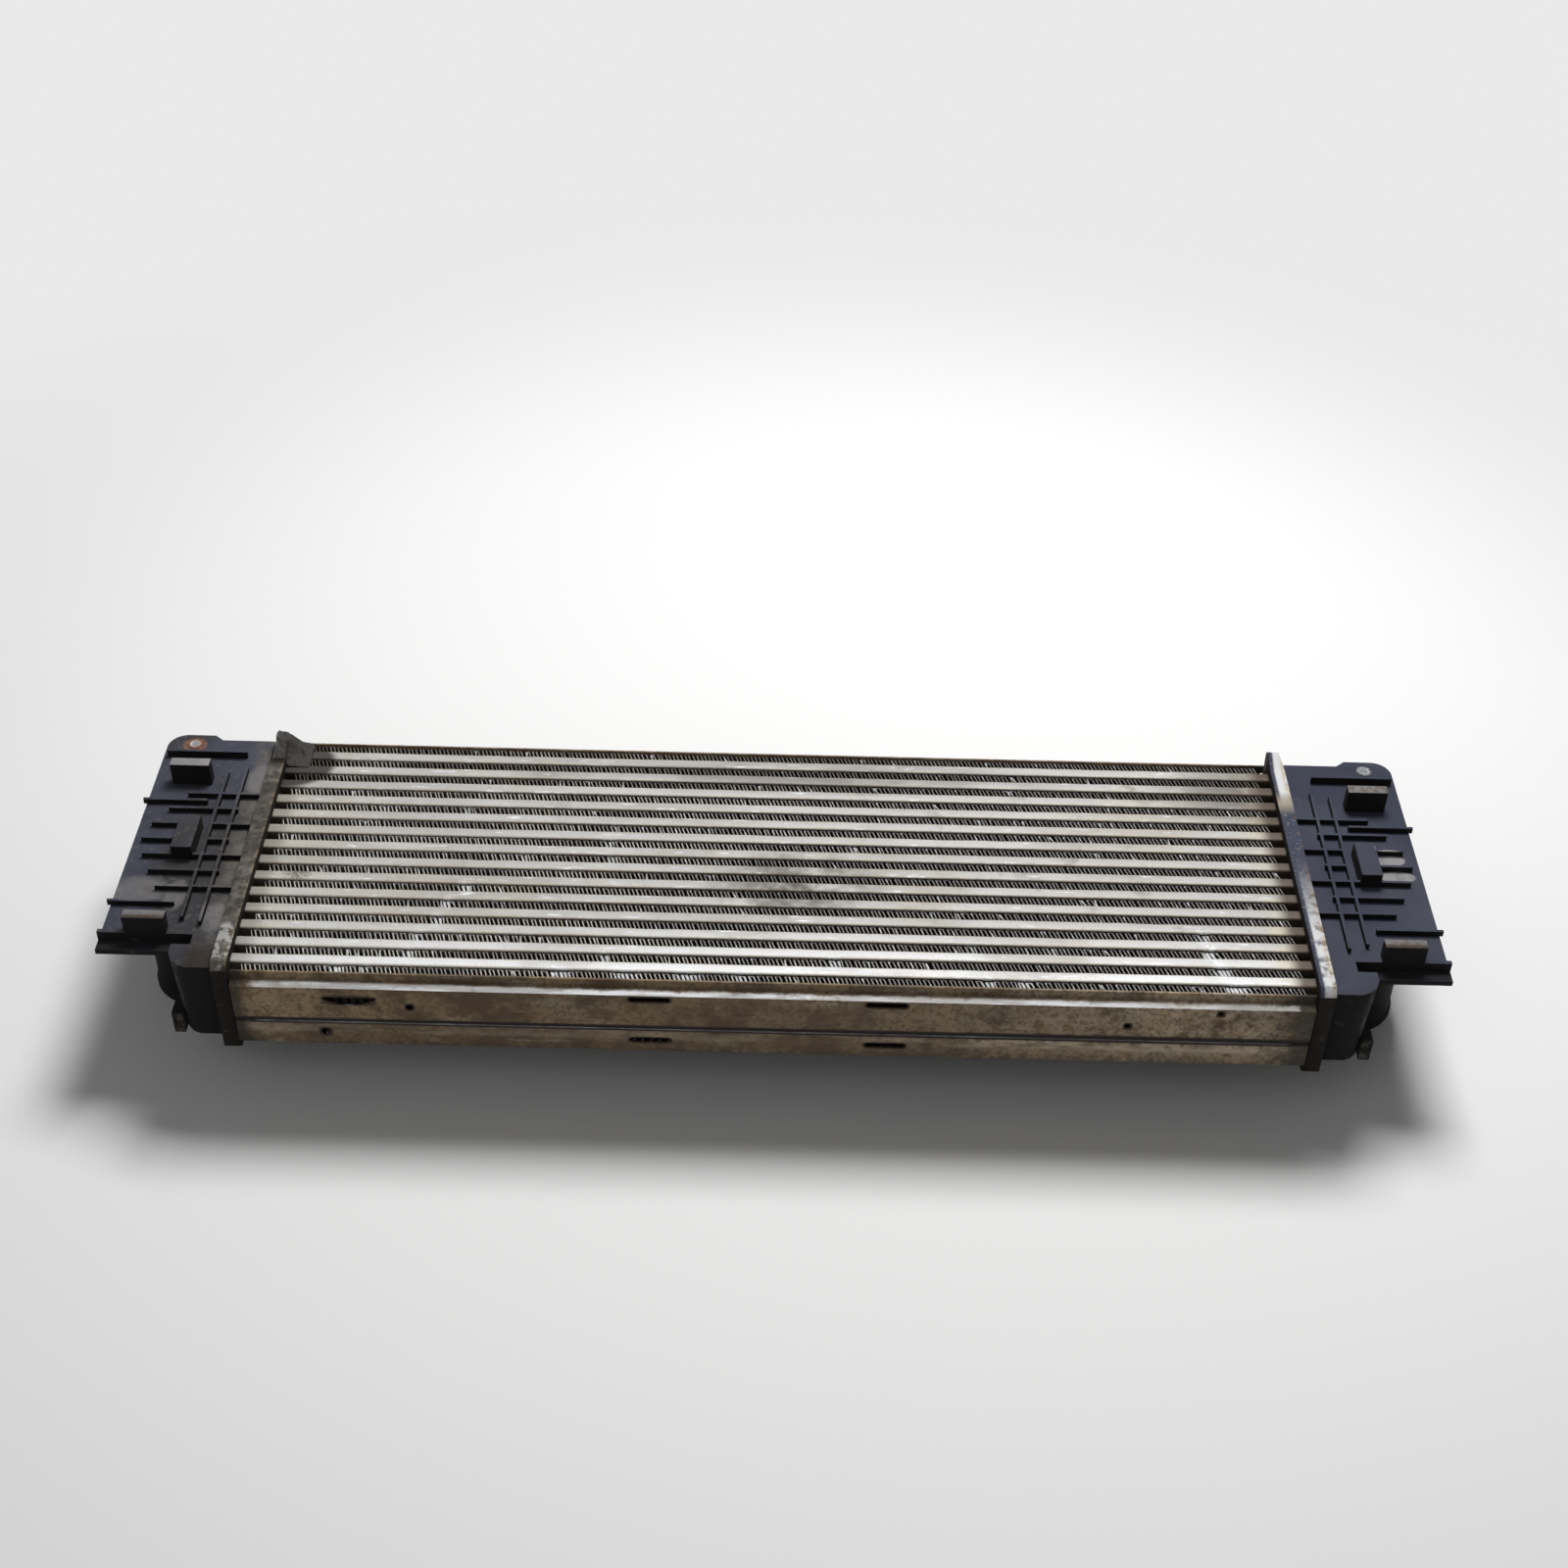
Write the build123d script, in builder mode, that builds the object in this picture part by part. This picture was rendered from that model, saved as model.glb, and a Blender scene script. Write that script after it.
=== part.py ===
from build123d import *
import os

# Charge-air cooler: a flat-tube aluminium core between two moulded end tanks, standing on its two
# hose necks with the inlet face up. X runs along the tubes, Y across the tube rows, Z up, mm.

# Core
core_half_length = 338.0  # from the middle of the core to the inner face of a header plate
core_depth = 62.0  # width of a flat tube, along the air flow
tube_count = 14
tube_pitch = 15.4
tube_thickness = 8.5
tube_wall = 1.5
tube_web = 1.5  # inner webs that split a tube into ports
tube_port_count = 3
tube_nose = 1.6  # chamfer that shapes the nose of a tube
tube_end_stand = 1.5  # how far a tube end stands out of the header plate, inside the tank
fin_sheet = 0.5
fin_wave = 50.0  # one full fold of a fin row, drawn open
fin_recess = 1.5  # from the tube noses back to the fin edge
fin_end_gap = 7.0  # bare tube between a fin row and the header plate
braze_gap = 0.1  # clearance at brazed and seated faces

# Header plates: shallow trays whose rims are crimped over the tank feet
header_sheet = 2.0
header_depth = 8.0
header_rise = 7.0  # rim above the tube noses, front and back
header_end_margin = 4.55  # from the outer fin row to the end of the tray
header_corner = 5.0
crimp_cover = 2.8  # how far the crimped lip reaches over the tank foot
crimp_notch = 3.0
gasket_width = 3.0
foot_chamfer = 3.0  # corners of the tank foot, the seal and the tray's pocket

# Side plates: pressed hat section, crown outwards
side_sheet = 1.5
side_crown_depth = 6.5
side_lip = 5.0
side_slant = 2.0  # the web leans in by this much from the lip to the crown
side_end_gap = 1.5  # from the header plate to the end of the side plate
side_groove_width = 3.0
side_groove_depth = 0.9
side_groove_drop = 35.0  # below the tube noses
slot_length = 26.0
slot_height = 4.0
slot_chamfer = 1.3
near_slots = [(-76.5, 10.5), (-76.5, 46.0), (71.0, 10.5), (71.0, 46.0)]  # x, drop below the noses
far_slots = [(-76.5, 46.0), (71.0, 46.0)]
drain_sides = 8
drain_holes = [
    (-226.0, 22.0, 2.6),
    (-280.5, 45.0, 3.2),
    (221.5, 23.5, 2.2),
    (278.0, 11.0, 2.0),
]  # x, drop below the noses, radius
lens_centre_x = -263.5
lens_drop = 14.5
lens_length = 38.0
lens_height = 7.0

# End tanks, drawn at the right-hand end. x is measured outwards from the inner face of the
# crimped lip, z downwards or upwards from the upper face of the core.
tank_wall = 3.0
tank_depth = 32.0  # from the lip to the outer wall, at the top
tank_foot_margin = 3.1  # how far the foot stands out past the tank's ends
tank_corners = (9.4, 3.4)  # two chamfers, one on the other, round an outer corner
tank_inner_chamfer = 7.6
tank_draft = 3.0
foot_thickness = 3.5

# Hose necks
neck_length = 46.0  # below the tank floor
neck_radius = 30.0
neck_wall = 3.5
neck_x = 44.0
neck_y = -6.0
neck_lip_radius = 31.5  # rolled lip at the open end, which holds the hose clamp
neck_lip_height = 4.0
neck_lip_slope = 1.5
bulge_wall = 4.0  # how far the tank stands out past the neck around it

# Wing plate on top of each tank
wing_thickness = 3.0
wing_outer_x = 78.0
wing_far_margin = 3.0  # past the tank's far end
wing_near_margin = 29.5  # short of the tank's near end
ear_margin = 8.0  # past the tank's far end
ear_inner_x = 47.0
ear_ramp = 6.0
ear_corner = 13.0
ledge_drop = 7.0
ledge_depth = 9.0
ledge_thickness = 3.5
ledge_inner_x = 20.0  # the step also cuts this far into the tank's roof
ledge_outer_x = 81.0
nib_stand = 2.0

# Ribs, hooks and the block on the wing plate
rib_width = 2.0
rib_height = 4.0
long_ribs = [(17.3, -73.0, 80.0), (29.5, -69.0, 76.0)]  # x, from y, to y
grid_rib_y = 6.0  # the grid rib beside the middle; its neighbours are one tube pitch apart
grid_ribs = [
    (3, 3.0, 51.5),
    (2, 15.0, 61.0),
    (1, 3.0, 31.0),
    (1, 51.5, 69.0),
    (0, 15.0, 29.5),
    (0, 52.0, 72.5),
    (-1, 3.0, 68.5),
    (-2, 15.0, 61.0),
    (-3, 3.0, 53.0),
]  # pitches from the middle rib, from x, to x
edge_ribs = [(45.0, 37.0), (-55.0, 37.5)]  # y, from x to the outer edge
ear_rib_x = (20.0, 75.0)
ear_rib_margin = 18.5  # from the far edge of the wing
ear_rib_height = 5.5
block_x = (35.0, 48.5)
block_y = (-11.0, 21.0)
block_height = 11.0
hook_length = 26.5
hook_depth = 7.5
hook_wall = 3.5
hook_slab = 3.0
upper_hook_x = 38.5
upper_hook_margin = 48.5  # from the far edge of the wing
upper_hook_height = 17.0
lower_hook_x = 37.0
lower_hook_height = 13.0

# Ear bushes, tail lug and the stiffeners under the wing
bush_x = 59.3
bush_margin = 10.0  # from the far edge of the ear
bush_radius = 5.5
bush_sides = 8
bush_bore = 3.1
bush_length = 7.0
bush_stand = 0.5
bush_boss_wall = 3.0
lug_size = (7.0, 11.0, 17.0)
lug_outer_x = 35.0
lug_margin = 4.0  # from the tank's near end
under_rib_margins = [21.5, 57.5, 165.5]  # from the far edge of the wing
under_rib_height = 14.0
under_rib_length = 36.0

# Lump of hardened sealer over the far left corner, from the tray's rim to the first tubes
sealer_margin = 4.7  # from the end of the tray
sealer_length = 25.0
sealer_cap = 9.0  # over the rim of the tray
sealer_brow = 4.0  # height of its outer edge above the rim
sealer_crest = 6.5  # above the rim
sealer_shoulder = (7.0, 5.0)  # over the tubes from the tray, and above the noses
sealer_reach = 16.0  # over the tubes
sealer_edge = 1.6

# Worked-out places
face_z = neck_length + core_depth
middle_z = face_z - core_depth / 2
tube_rows = [(i - (tube_count - 1) / 2) * tube_pitch for i in range(tube_count)]
fin_rows = [(i - tube_count / 2) * tube_pitch for i in range(tube_count + 1)]
fin_height = tube_pitch - tube_thickness - 2 * braze_gap
fin_half_length = core_half_length - fin_end_gap
core_half_width = fin_rows[-1] + fin_height / 2
header_half_width = core_half_width + header_end_margin
header_height = core_depth + 2 * header_rise
header_outer_x = core_half_length + header_depth
foot_half_width = header_half_width - header_sheet - braze_gap
foot_height = header_height - 2 * header_sheet - 2 * braze_gap
tube_half_length = core_half_length + header_sheet + tube_end_stand
tank_half_width = foot_half_width - tank_foot_margin
wing_far_y = tank_half_width + wing_far_margin
wing_near_y = wing_near_margin - tank_half_width
ear_far_y = tank_half_width + ear_margin
bush_y = ear_far_y - bush_margin
bore_radius = neck_radius - neck_wall
bulge_radius = neck_radius + bulge_wall
wing_bottom_z = face_z - wing_thickness
tank_floor_z = neck_length
space_start_x = -2 * foot_thickness  # the tank's space opens through the foot


def tube(row_y):
    """Flat extruded tube with blunt noses and inner webs."""
    port_height = tube_thickness - 2 * tube_wall
    clear_depth = core_depth - tube_thickness
    port_length = (clear_depth - (tube_port_count - 1) * tube_web) / tube_port_count
    with BuildPart() as flat_tube:
        with BuildSketch(Plane.YZ.offset(-tube_half_length)) as section:
            with Locations((row_y, middle_z)):
                Rectangle(tube_thickness, core_depth)
                chamfer(section.vertices(), tube_nose)
                with GridLocations(0, port_length + tube_web, 1, tube_port_count):
                    Rectangle(port_height, port_length, mode=Mode.SUBTRACT)
        extrude(amount=2 * tube_half_length)
    return flat_tube


def fin_strip(row_y):
    """Corrugated strip folded to and fro between two tubes."""
    fold_count = 2 * round(2 * fin_half_length / fin_wave)
    fold = 2 * fin_half_length / fold_count
    crest = (fin_height - fin_sheet) / 2
    line = [(-fin_half_length + i * fold, crest * (-1) ** i) for i in range(fold_count + 1)]
    upper = [(x, row_y + y + fin_sheet / 2) for x, y in line]
    lower = [(x, row_y + y - fin_sheet / 2) for x, y in line]
    fin_depth = core_depth - 2 * fin_recess
    with BuildPart() as strip:
        with BuildSketch(Plane.XY.offset(middle_z - fin_depth / 2)):
            with BuildLine():
                Polyline(*upper, *reversed(lower), close=True)
            make_face()
        extrude(amount=fin_depth)
    return strip


def foot_outline():
    """Sketch of the tank foot, seen along the tubes, that the seal and the tray follow."""
    with BuildSketch() as outline:
        Rectangle(2 * foot_half_width, foot_height)
        chamfer(outline.vertices(), foot_chamfer)
    return outline.sketch


def header_plate():
    """Slotted tray that holds the tube ends, its rim crimped over the tank foot."""
    notch_pitch = 2 * tube_pitch
    notch_count = 1 + 2 * int(header_half_width // notch_pitch)
    lip_opening = (
        2 * (header_half_width - header_sheet - crimp_cover),
        header_height - 2 * (header_sheet + crimp_cover),
    )
    with BuildPart() as header:
        with BuildSketch(Plane.YZ.offset(core_half_length)) as outline:
            with Locations((0, middle_z)):
                Rectangle(2 * header_half_width, header_height)
            chamfer(outline.vertices(), header_corner)
        extrude(amount=header_depth + header_sheet)
        with BuildSketch(Plane.YZ.offset(core_half_length + header_sheet)):
            with Locations((0, middle_z)):
                add(foot_outline())
            offset(amount=braze_gap, kind=Kind.INTERSECTION)
        extrude(amount=header_depth - header_sheet, mode=Mode.SUBTRACT)
        with BuildSketch(Plane.YZ.offset(header_outer_x)):
            with Locations((0, middle_z)):
                Rectangle(*lip_opening)
                with GridLocations(notch_pitch, 0, notch_count, 1):
                    Rectangle(crimp_notch, header_height - 2 * header_sheet)
        extrude(amount=header_sheet, mode=Mode.SUBTRACT)
        with BuildSketch(Plane.YZ.offset(core_half_length)) as slots:
            with Locations((0, middle_z)):
                with GridLocations(tube_pitch, 0, tube_count, 1):
                    Rectangle(tube_thickness + 2 * braze_gap, core_depth + 2 * braze_gap)
            chamfer(slots.vertices(), tube_nose)
        extrude(amount=header_sheet, mode=Mode.SUBTRACT)
    return header


def gasket():
    """Rectangular seal ring squeezed between the tray and the tank foot."""
    with BuildPart() as seal:
        with BuildSketch(Plane.YZ.offset(core_half_length + header_sheet + braze_gap)):
            with Locations((0, middle_z)):
                add(foot_outline())
                Rectangle(
                    2 * (foot_half_width - gasket_width),
                    foot_height - 2 * gasket_width,
                    mode=Mode.SUBTRACT,
                )
        extrude(amount=header_depth - foot_thickness - header_sheet - 2 * braze_gap)
    return seal


def side_plate(slot_places):
    """Hat-section plate over the near outer fin row, with its slots and drain holes."""
    lip_y = -(core_half_width + braze_gap + side_sheet)
    crown_y = lip_y - side_crown_depth
    edge = core_depth / 2
    shoulder = edge - side_lip
    half_length = core_half_length - side_end_gap
    lens_top = face_z - lens_drop
    lens_ends = [(lens_centre_x + side * lens_length / 2, lens_top) for side in (-1, 1)]
    with BuildPart() as plate:
        with BuildSketch(Plane.YZ.offset(-half_length)):
            with BuildLine():
                Polyline(
                    (lip_y, middle_z + edge),
                    (lip_y, middle_z + shoulder),
                    (crown_y, middle_z + shoulder - side_slant),
                    (crown_y, middle_z - shoulder + side_slant),
                    (lip_y, middle_z - shoulder),
                    (lip_y, middle_z - edge),
                )
                offset(amount=side_sheet, side=Side.LEFT, kind=Kind.INTERSECTION)
            make_face()
        extrude(amount=2 * half_length)
        with BuildSketch(Plane.YZ.offset(-half_length)):
            with Locations((crown_y, face_z - side_groove_drop)):
                Rectangle(2 * side_groove_depth, side_groove_width)
        extrude(amount=2 * half_length, mode=Mode.SUBTRACT)
        with BuildSketch(Plane.XZ.offset(-crown_y)) as slots:
            for x, drop in slot_places:
                with Locations((x, face_z - drop)):
                    Rectangle(slot_length, slot_height)
            chamfer(slots.vertices(), slot_chamfer)
            for x, drop, radius in drain_holes:
                with Locations((x, face_z - drop)):
                    RegularPolygon(radius, drain_sides)
            with BuildLine():
                ThreePointArc(lens_ends[0], (lens_centre_x, lens_top - lens_height), lens_ends[1])
                Line(lens_ends[1], lens_ends[0])
            make_face()
        extrude(amount=-side_sheet, mode=Mode.SUBTRACT)
    return plate


def tank_body():
    """Foot, drafted body with its stepped roof and the bulge round the neck, hollowed out."""
    floor_z = tank_floor_z + tank_wall
    ceiling_z = face_z - tank_wall
    step_inner_x = ledge_inner_x - tank_wall
    step_outer_x = tank_depth - tank_wall / 2  # inside the outer wall
    with BuildPart() as body:
        with BuildSketch(Plane.XY.offset(face_z)) as footprint:
            Rectangle(tank_depth, 2 * tank_half_width, align=(Align.MIN, Align.CENTER))
            for size in tank_corners:
                chamfer(footprint.vertices().sort_by(Axis.X)[2:], size)
        extrude(amount=-core_depth, taper=tank_draft)
        with BuildSketch(Plane.YZ.offset(-foot_thickness)):
            with Locations((0, middle_z)):
                add(foot_outline())
        extrude(amount=foot_thickness)
        with BuildSketch(Plane.XY.offset(tank_floor_z)):
            with Locations((neck_x, neck_y)):
                Circle(bulge_radius)
                Rectangle(neck_x, 2 * bulge_radius, align=(Align.MAX, Align.CENTER))
        extrude(amount=wing_bottom_z - tank_floor_z)
        with BuildSketch(Plane.XY.offset(ceiling_z)) as space:
            with Locations((space_start_x, 0)):
                Rectangle(
                    tank_depth - tank_wall - space_start_x,
                    2 * (tank_half_width - tank_wall),
                    align=(Align.MIN, Align.CENTER),
                )
            chamfer(space.vertices().group_by(Axis.X)[-1], tank_inner_chamfer)
        extrude(amount=floor_z - ceiling_z, taper=tank_draft, mode=Mode.SUBTRACT)
        with BuildSketch(Plane.XY.offset(floor_z)):
            with Locations((neck_x, neck_y)):
                Circle(bore_radius)
                Rectangle(
                    neck_x - space_start_x, 2 * bore_radius, align=(Align.MAX, Align.CENTER)
                )
        extrude(amount=ceiling_z - floor_z, mode=Mode.SUBTRACT)
        with BuildSketch(Plane.XY.offset(tank_floor_z)):
            with Locations((neck_x, neck_y)):
                Circle(bore_radius)
        extrude(amount=tank_wall, mode=Mode.SUBTRACT)
        with Locations((step_inner_x, wing_near_y + tank_wall, face_z)):
            Box(
                step_outer_x - step_inner_x,
                ledge_depth + 2 * tank_wall,
                ledge_drop + ledge_thickness,
                align=(Align.MIN, Align.MAX, Align.MAX),
            )
        with Locations((ledge_inner_x, wing_near_y, face_z)):
            Box(
                tank_depth - ledge_inner_x,
                ledge_depth,
                ledge_drop,
                align=(Align.MIN, Align.MAX, Align.MAX),
                mode=Mode.SUBTRACT,
            )
    return body


def hose_neck():
    """Turned hose neck with a rolled lip at its open end."""
    lip_x = neck_x + neck_lip_radius
    wall_x = neck_x + neck_radius
    with BuildPart() as neck:
        with BuildSketch(Plane.XZ.offset(-neck_y)):
            with BuildLine():
                Polyline(
                    (neck_x + bore_radius, 0),
                    (lip_x, 0),
                    (lip_x, neck_lip_height),
                    (wall_x, neck_lip_height + neck_lip_slope),
                    (wall_x, tank_floor_z),
                    (neck_x + bore_radius, tank_floor_z),
                    close=True,
                )
            make_face()
        revolve(axis=Axis((neck_x, neck_y, 0), (0, 0, 1)))
    return neck


def wing_plate():
    """Flat plate with its ear, the stepped ledge along the near edge and the stiffeners below."""
    root_x = header_sheet + braze_gap
    step_y = wing_near_y + tank_wall
    ledge_bottom_z = face_z - ledge_drop - ledge_thickness
    inner_x = tank_depth - tank_wall
    with BuildPart() as wing:
        with BuildSketch(Plane.XY.offset(wing_bottom_z)) as outline:
            with BuildLine():
                Polyline(
                    (root_x, wing_near_y),
                    (wing_outer_x, wing_near_y),
                    (wing_outer_x, ear_far_y),
                    (ear_inner_x, ear_far_y),
                    (ear_inner_x - ear_ramp, wing_far_y),
                    (root_x, wing_far_y),
                    close=True,
                )
            make_face()
            fillet(outline.vertices().group_by(Axis.Y)[-1].sort_by(Axis.X)[-1], ear_corner)
        extrude(amount=wing_thickness)
        with BuildSketch(Plane.YZ.offset(inner_x)):
            with Locations((step_y, ledge_bottom_z)):
                Rectangle(
                    ledge_depth + tank_wall, ledge_thickness, align=(Align.MAX, Align.MIN)
                )
                Rectangle(tank_wall, ledge_drop + ledge_thickness, align=(Align.MAX, Align.MIN))
        extrude(amount=ledge_outer_x - inner_x)
        for margin in under_rib_margins:
            with BuildSketch(Plane.XZ.offset(margin - wing_far_y)):
                with BuildLine():
                    Polyline(
                        (inner_x, wing_bottom_z),
                        (tank_depth + under_rib_length, wing_bottom_z),
                        (inner_x, wing_bottom_z - under_rib_height),
                        close=True,
                    )
                make_face()
            extrude(amount=rib_width / 2, both=True)
    return wing


def wing_fittings():
    """Ribs, the middle block and the two mounting hooks on top of the wing."""
    with BuildPart() as fittings:
        with BuildSketch(Plane.XY.offset(face_z)):
            for x, start, end in long_ribs:
                with Locations((x, start)):
                    Rectangle(rib_width, end - start, align=(Align.CENTER, Align.MIN))
            for pitches, start, end in grid_ribs:
                with Locations((start, grid_rib_y + pitches * tube_pitch)):
                    Rectangle(end - start, rib_width, align=(Align.MIN, Align.CENTER))
            for y, start in edge_ribs:
                with Locations((start, y)):
                    Rectangle(
                        wing_outer_x + nib_stand - start, rib_width, align=(Align.MIN, Align.CENTER)
                    )
        extrude(amount=rib_height)
        with BuildSketch(Plane.XY.offset(face_z)):
            with Locations((ear_rib_x[0], wing_far_y - ear_rib_margin)):
                Rectangle(
                    ear_rib_x[1] - ear_rib_x[0], rib_width, align=(Align.MIN, Align.CENTER)
                )
        extrude(amount=ear_rib_height)
        with BuildSketch(Plane.XY.offset(face_z)):
            with Locations((block_x[0], block_y[0])):
                Rectangle(
                    block_x[1] - block_x[0], block_y[1] - block_y[0], align=(Align.MIN, Align.MIN)
                )
        extrude(amount=block_height)
        for x, y, height in (
            (upper_hook_x, wing_far_y - upper_hook_margin, upper_hook_height),
            (lower_hook_x, wing_near_y, lower_hook_height),
        ):
            with BuildSketch(Plane.YZ.offset(x)):
                with Locations((y, face_z)):
                    Rectangle(hook_depth, height, align=(Align.MIN, Align.MIN))
            extrude(amount=hook_length)
            with BuildSketch(Plane.YZ.offset(x + hook_wall)):
                with Locations((y + hook_wall, face_z)):
                    Rectangle(
                        hook_depth - hook_wall, height - hook_slab, align=(Align.MIN, Align.MIN)
                    )
            extrude(amount=hook_length - 2 * hook_wall, mode=Mode.SUBTRACT)
    return fittings


def end_tank():
    """Right-hand end tank: body, neck, wing and fittings moulded as one, set in its tray."""
    body, neck, wing, fittings = tank_body(), hose_neck(), wing_plate(), wing_fittings()
    lug_y = lug_margin - tank_half_width
    with BuildPart() as moulding:
        add(body.part)
        add(neck.part)
        add(wing.part)
        add(fittings.part)
        with Locations((lug_outer_x, lug_y, tank_floor_z)):
            Box(*lug_size, align=(Align.MAX, Align.MIN, Align.MIN))
        with BuildSketch(Plane.XY.offset(face_z)):
            with Locations((bush_x, bush_y)):
                RegularPolygon(bush_radius + bush_boss_wall, bush_sides)
        extrude(amount=-bush_length)
        with BuildSketch(Plane.XY.offset(face_z)):
            with Locations((bush_x, bush_y)):
                RegularPolygon(bush_radius + braze_gap, bush_sides)
        extrude(amount=-bush_length, mode=Mode.SUBTRACT)
    with BuildPart() as tank:
        with Locations((header_outer_x, 0, 0)):
            add(moulding.part)
    return tank


def ear_bushes():
    """Steel bush in each ear, its outside eight-sided so that it can't turn in the plastic."""
    with BuildPart() as bushes:
        with BuildSketch(Plane.XY.offset(face_z - bush_length)):
            with Locations((header_outer_x + bush_x, bush_y)):
                RegularPolygon(bush_radius, bush_sides)
                Circle(bush_bore, mode=Mode.SUBTRACT)
        extrude(amount=bush_length + bush_stand)
        mirror(about=Plane.YZ)
    return bushes


def corner_sealer():
    """Lump of sealer, drawn at the right-hand end, lying on the rim and the tube noses."""
    rim_z = face_z + header_rise
    tray_x = core_half_length - braze_gap
    crest_x = core_half_length + sealer_cap / 2
    shoulder_x, shoulder_height = sealer_shoulder
    with BuildPart() as lump:
        with BuildSketch(Plane.XZ.offset(sealer_margin - header_half_width)):
            with BuildLine():
                Polyline(
                    (tray_x, face_z + braze_gap),
                    (tray_x, rim_z + braze_gap),
                    (core_half_length + sealer_cap, rim_z + braze_gap),
                    (core_half_length + sealer_cap, rim_z + sealer_brow),
                    (crest_x, rim_z + sealer_crest),
                    (core_half_length, rim_z + sealer_crest),
                    (core_half_length - shoulder_x, face_z + shoulder_height),
                    (core_half_length - sealer_reach, face_z + sealer_edge),
                    (core_half_length - sealer_reach, face_z + braze_gap),
                    close=True,
                )
            make_face()
        extrude(amount=sealer_length)
    return lump


def handed(block, left):
    """The right-hand piece itself, or its mirror image for the left end."""
    with BuildPart() as piece:
        add(block.part)
        if left:
            mirror(about=Plane.YZ, mode=Mode.REPLACE)
    return piece


pieces = {}
for number, row_y in enumerate(reversed(tube_rows), start=1):
    pieces[f"tube_{number:02d}"] = tube(row_y)
for number, row_y in enumerate(reversed(fin_rows), start=1):
    pieces[f"fin_{number:02d}"] = fin_strip(row_y)
for side, left in (("left", True), ("right", False)):
    pieces[f"header_plate_{side}"] = handed(header_plate(), left)
    pieces[f"tank_gasket_{side}"] = handed(gasket(), left)
    pieces[f"end_tank_{side}"] = handed(end_tank(), left)
pieces["ear_bushes"] = ear_bushes()
pieces["corner_sealer"] = handed(corner_sealer(), True)
pieces["side_plate_near"] = side_plate(near_slots)
with BuildPart() as far_plate:
    add(side_plate(far_slots).part)
    mirror(about=Plane.XZ, mode=Mode.REPLACE)
pieces["side_plate_far"] = far_plate

os.makedirs("parts", exist_ok=True)
for name, piece in pieces.items():
    piece.part.label = name
    export_step(piece.part, f"parts/{name}.step")
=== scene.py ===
import math
from functools import partialmethod, reduce

import bmesh
import bpy
import numpy as np
from bpy.props import FloatProperty, FloatVectorProperty, IntProperty, PointerProperty
from mathutils import Matrix, Vector, noise


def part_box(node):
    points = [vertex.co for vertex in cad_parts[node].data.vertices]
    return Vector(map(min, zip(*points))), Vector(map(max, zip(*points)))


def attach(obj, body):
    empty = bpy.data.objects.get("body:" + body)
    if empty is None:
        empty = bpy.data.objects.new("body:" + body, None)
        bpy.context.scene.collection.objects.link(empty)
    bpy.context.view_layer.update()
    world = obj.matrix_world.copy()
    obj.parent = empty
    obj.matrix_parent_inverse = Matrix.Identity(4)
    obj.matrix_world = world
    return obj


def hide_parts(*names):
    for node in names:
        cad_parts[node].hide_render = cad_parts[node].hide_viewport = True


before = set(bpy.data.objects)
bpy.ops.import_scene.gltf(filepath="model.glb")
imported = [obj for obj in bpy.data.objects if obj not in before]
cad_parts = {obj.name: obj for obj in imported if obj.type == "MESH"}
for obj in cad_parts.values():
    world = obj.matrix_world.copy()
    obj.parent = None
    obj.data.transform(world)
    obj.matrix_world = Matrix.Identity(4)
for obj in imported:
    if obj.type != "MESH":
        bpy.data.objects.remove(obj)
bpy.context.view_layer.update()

bl_info = {
    "name": "Charge-air cooler",
    "version": (1, 0, 0),
    "blender": (4, 5, 0),
    "location": "3D View > Sidebar > Cooler",
    "description": "Dresses the cooler's core, header plates and end tanks, and sets its studio",
    "category": "Object",
}

MM = 0.001
BODY = "root"

# Places that the finishes go by, from the frame: the face over the tube noses, the ends of the
# core, the row of tubes, the right header plate and the bush in the right ear
TUBES = sorted(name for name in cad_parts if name.startswith("tube_"))
FINS = sorted(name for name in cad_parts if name.startswith("fin_"))
FACE_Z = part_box(TUBES[0])[1].z
CORE_END_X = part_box(FINS[0])[1].x
FIRST_TUBE_Y = (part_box(TUBES[0])[0].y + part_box(TUBES[0])[1].y) / 2
TUBE_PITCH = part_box(FINS[0])[0].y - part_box(FINS[1])[0].y
HEADER_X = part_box("header_plate_right")[0].x
HEADER_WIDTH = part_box("header_plate_right")[1].x - HEADER_X
BUSH_LOW, BUSH_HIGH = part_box("ear_bushes")
BUSH_Y = (BUSH_LOW.y + BUSH_HIGH.y) / 2
BUSH_X = BUSH_HIGH.x - (BUSH_HIGH.y - BUSH_LOW.y) / 2

# Marks seen from above: x and y of the middle, reach along x and along y, in millimetres
DULL_MIDDLE = (60.0, 10.0, 290.0, 190.0)
OIL_ON_TUBES = (15.0, -22.0, 62.0, 40.0)
OIL_ON_FINS = (15.0, -22.0, 80.0, 46.0)
GREASE = (30.0, 88.0, 190.0, 20.0)
DIRTY_TIPS = (330.0, 80.0, 80.0, 38.0)
RING_STAIN = (-311.0, -22.0, 11.0, 7.0)
SMEAR_ON_TUBES = (-338.0, 90.0, 36.0, 28.0)
SMEAR_ON_FINS = (-336.0, 92.0, 36.0, 28.0)
SMEAR_ON_HEADER = (-342.0, 104.0, 30.0, 26.0)
RUBBED_HEADER = (-344.5, -96.0, 8.0, 22.0)
RUSTY_EAR = (-405.3, 107.5, 9.5, 8.5)
SHINY_HOOK = (-399.0, 75.0, 24.0, 14.0)
WIPED_WING = (384.0, 96.0, 46.0, 30.0)
SMUDGES = [(405.0, 16.0, 12.0, 6.5), (408.0, -0.5, 13.0, 6.0)]
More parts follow.
